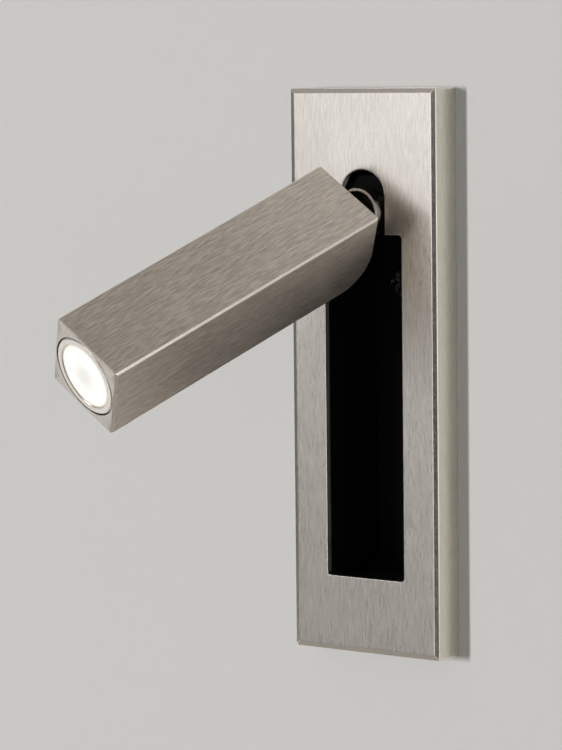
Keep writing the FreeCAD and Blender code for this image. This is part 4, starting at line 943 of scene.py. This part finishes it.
refinish(plate, edges_of(plate), MILLED_EDGE_PAINTED_HIGHLIGHT)
refinish(arm, edges_of(arm, arm_place, ARM_SIDEWAYS), MILLED_EDGE_PAINTED_HIGHLIGHT)
for way in (1, -1):
    refinish(plate, facing(plate, (way, 0, 0)), PLATE_SIDE_PAINTED_PALER)
refinish(arm, facing(arm, -arm_place.to_3x3().col[1]), FACED_TIP)
print("softened copies", len(copies), "new pieces", len(new_pieces))

# %% [markdown]
# ## The wall and the floor
# The lamp is let into a wall with matt emulsion on it, which a roller leaves slightly rough. The paint shines
# hardly at all. From behind, the camera sees through it, so that the wall doesn't hide the back of the lamp.

# %% Paint
ROLLER = 1.2
ROLLER_DEPTH = 0.12


def paint(name, code, one_sided):
    """Matt emulsion paint; when it is one-sided, the camera sees through it from behind."""
    made, tree, shader = start_material(name)
    grit = noise(tree, Matrix(), (ROLLER,) * 3, detail=5.0, roughness=0.6)
    relief = add(tree, "ShaderNodeBump", {"Height": grit, "Strength": 0.5, "Distance": ROLLER_DEPTH * MM})
    fill_in(tree, shader, {"Base Color": linear(code), "Roughness": 0.9, "Normal": relief.outputs[0],
                           "Specular IOR Level": 0.2})
    if one_sided:
        behind = add(tree, "ShaderNodeNewGeometry").outputs["Backfacing"]
        seen = add(tree, "ShaderNodeLightPath").outputs["Is Camera Ray"]
        both = add(tree, "ShaderNodeMath", {0: behind, 1: seen}, operation="MULTIPLY")
        clear = add(tree, "ShaderNodeBsdfTransparent")
        mixed = add(tree, "ShaderNodeMixShader", {0: both.outputs[0], 1: shader.outputs[0], 2: clear.outputs[0]})
        tree.links.new(mixed.outputs[0], tree.nodes["Material Output"].inputs[0])
    return made


def put_stage(name, points, faces, material):
    """A flat stage piece from points in millimetres; it isn't part of the lamp."""
    mesh = bpy.data.meshes.new(name)
    mesh.from_pydata((np.array(points) * MM).tolist(), [], faces)
    mesh.materials.append(material)
    thing = bpy.data.objects.new(name, mesh)
    bpy.context.scene.collection.objects.link(thing)
    print(name, "corners", len(points))
    return thing


# %% [markdown]
# The wall has a hole for the back box. It is nearly as large as the plate that covers it, so that light gets
# to the box's flange when the lamp is looked at from behind. The wall's face lies a hair behind the plate's
# back, so that the two don't share a plane. A pale floor far below closes the room.

# %% Wall and floor
WALL_HALF = 3000.0
WALL_SET_BACK = 0.02
PLATE_OVERLAP = 1.5
FLOOR_HALF = 1500.0
FLOOR_DROP = 900.0

# Four corners outside, four inside, and four quads between.
hole = SQUARE * (plate_high[[0, 2]] - PLATE_OVERLAP)
put_stage("wall", np.insert(np.concatenate([SQUARE * WALL_HALF, hole]), 1, WALL_SET_BACK, axis=1),
          [(i, (i + 1) % 4, 4 + (i + 1) % 4, 4 + i) for i in range(4)],
          paint("wall emulsion", "#CAC9C7", True))
# A square that ends at the wall.
put_stage("floor", [(i * FLOOR_HALF, (j - 1) * FLOOR_HALF, -FLOOR_DROP) for i, j in SQUARE], [(0, 1, 2, 3)],
          paint("floor paint", "#C4C2BE", True))

# %% [markdown]
# ## Light
# The light is a photographer's, for a metal object on a pale wall. Metal shows what surrounds it, so each soft
# box stands where one face of the lamp mirrors the camera: the key for the front of the plate, a strip beside
# it for the line along its right edge, low boxes for its lower half, one by the wall for its right side, and
# small ones above for the top of the arm and the milled edges. These boxes are seen only in reflections, and
# the room itself lights the paint evenly. The one behind lights the back of the lamp.
#
# One far lamp lights the paint alone. It throws the plate's narrow shadow to the right; only the plate stands
# in its way, because the arm throws no long shadow across the wall.

# %% Lights
def soft_box(name, direction, distance, width, height, strength, shines_on):
    """A rectangular lamp that looks at the plate; strength is its radiance, so power = pi area strength."""
    data = bpy.data.lights.new(name, "AREA")
    data.shape = "RECTANGLE"
    data.size = width * MM
    data.size_y = height * MM
    data.energy = math.pi * data.size * data.size_y * strength
    lamp = bpy.data.objects.new(name, data)
    away = Vector(direction).normalized()
    lamp.location = away * distance * MM
    lamp.rotation_euler = away.to_track_quat("Z", "Y").to_euler()
    lamp.visible_camera = False
    lamp.visible_diffuse = shines_on != "gloss"
    lamp.visible_glossy = shines_on != "paint"
    bpy.context.scene.collection.objects.link(lamp)
    return lamp


def shaded_only_by(lamp, thing):
    """Only one piece stands in the lamp's way; everything else lets its light through."""
    blockers = bpy.data.collections.new(lamp.name + " blockers")
    blockers.objects.link(thing)
    lamp.light_linking.blocker_collection = blockers


# Name, direction from the plate's middle, distance, width and height in mm, radiance, and what it shines on.
SOFT_BOXES = [
    ("key", (-0.46, -0.88, 0.13), 1500, 760, 530, 1.22, "gloss"),
    ("strip", (-0.241, -0.967, -0.087), 1500, 300, 700, 1.45, "gloss"),
    ("low left", (-0.87, -0.14, -0.48), 1400, 800, 700, 0.85, "gloss"),
    ("right", (0.99, -0.10, 0.08), 1400, 600, 900, 2.3, "gloss"),
    ("low front", (0.15, -0.79, -0.60), 1400, 900, 700, 0.5, "gloss"),
    ("over the heel", (0.21, 0.0, 0.98), 310, 60, 60, 0.9, "gloss"),
    ("edges from above", (-0.35, -0.50, 0.80), 1500, 700, 300, 6.0, "gloss"),
    ("behind", (0.3, 0.9, 0.4), 1500, 1200, 1200, 1.0, "both"),
    ("side", (-0.374, -0.926, 0.052), 8000, 600, 1600, 143.0, "paint"),
]
lamps = {row[0]: soft_box(*row) for row in SOFT_BOXES}
shaded_only_by(lamps["side"], plate)
print("lights", len(lamps))

# %% [markdown]
# The room is a plain grey sky that changes with height: dimmer below, brightest at eye level, where the
# brushed metal picks it up, and quieter above.

# %% Room
ROOM = [(0.0, "#757473"), (0.30, "#868584"), (0.41, "#A5A4A2"), (0.5, "#B7B6B4"), (0.60, "#A9A8A6"),
        (0.72, "#9A9998"), (1.0, "#959493")]


def room_world():
    """A grey by height: the share (z + 1) / 2 of a direction is looked up in the table's ramp."""
    world = bpy.data.worlds.new("room")
    world.use_nodes = True
    tree = world.node_tree
    tree.nodes.clear()
    up = add(tree, "ShaderNodeSeparateXYZ", {0: add(tree, "ShaderNodeTexCoord").outputs["Generated"]}).outputs[2]
    share = add(tree, "ShaderNodeMapRange", {"Value": up, "From Min": -1.0}).outputs[0]
    ramp = add(tree, "ShaderNodeValToRGB", {"Fac": share})
    while len(ramp.color_ramp.elements) < len(ROOM):
        ramp.color_ramp.elements.new(0.5)
    for element, (place, code) in zip(ramp.color_ramp.elements, ROOM):
        element.position = place
        element.color = linear(code)
    sky = add(tree, "ShaderNodeBackground", {"Color": ramp.outputs[0], "Strength": 1.0})
    add(tree, "ShaderNodeOutputWorld", {"Surface": sky.outputs[0]})
    return world


bpy.context.scene.world = room_world()
bpy.context.scene.view_settings.view_transform = "Standard"
print("greys in the room", len(ROOM))

# %% [markdown]
# Two cards stand opposite the plate, a black one for the bevel on its right and a grey one for the bevel on
# its left, and give them their darker line. The camera can't see the cards and they throw no shadow.

# %% Cards
FLAG_DISTANCE = 1100.0


def put_flag(name, towards, half_wide, half_high, material):
    """A card that faces the plate: its half sizes lie along two directions square to the way to it."""
    away = Vector(towards).normalized()
    level = away.cross(Vector((0, 0, 1))).normalized()
    upward = level.cross(away)
    points = [away * FLAG_DISTANCE + level * (i * half_wide) + upward * (j * half_high) for i, j in SQUARE.tolist()]
    flag = put_stage(name, points, [(3, 2, 1, 0)], material)
    flag.visible_camera = flag.visible_diffuse = flag.visible_shadow = False


put_flag("flag ahead", (-0.03, -0.995, -0.09), 160, 230, paint("black card", "#0E0E0E", False))
put_flag("flag left", (-0.94, -0.34, -0.09), 200, 210, paint("grey card", "#8C8C8C", False))
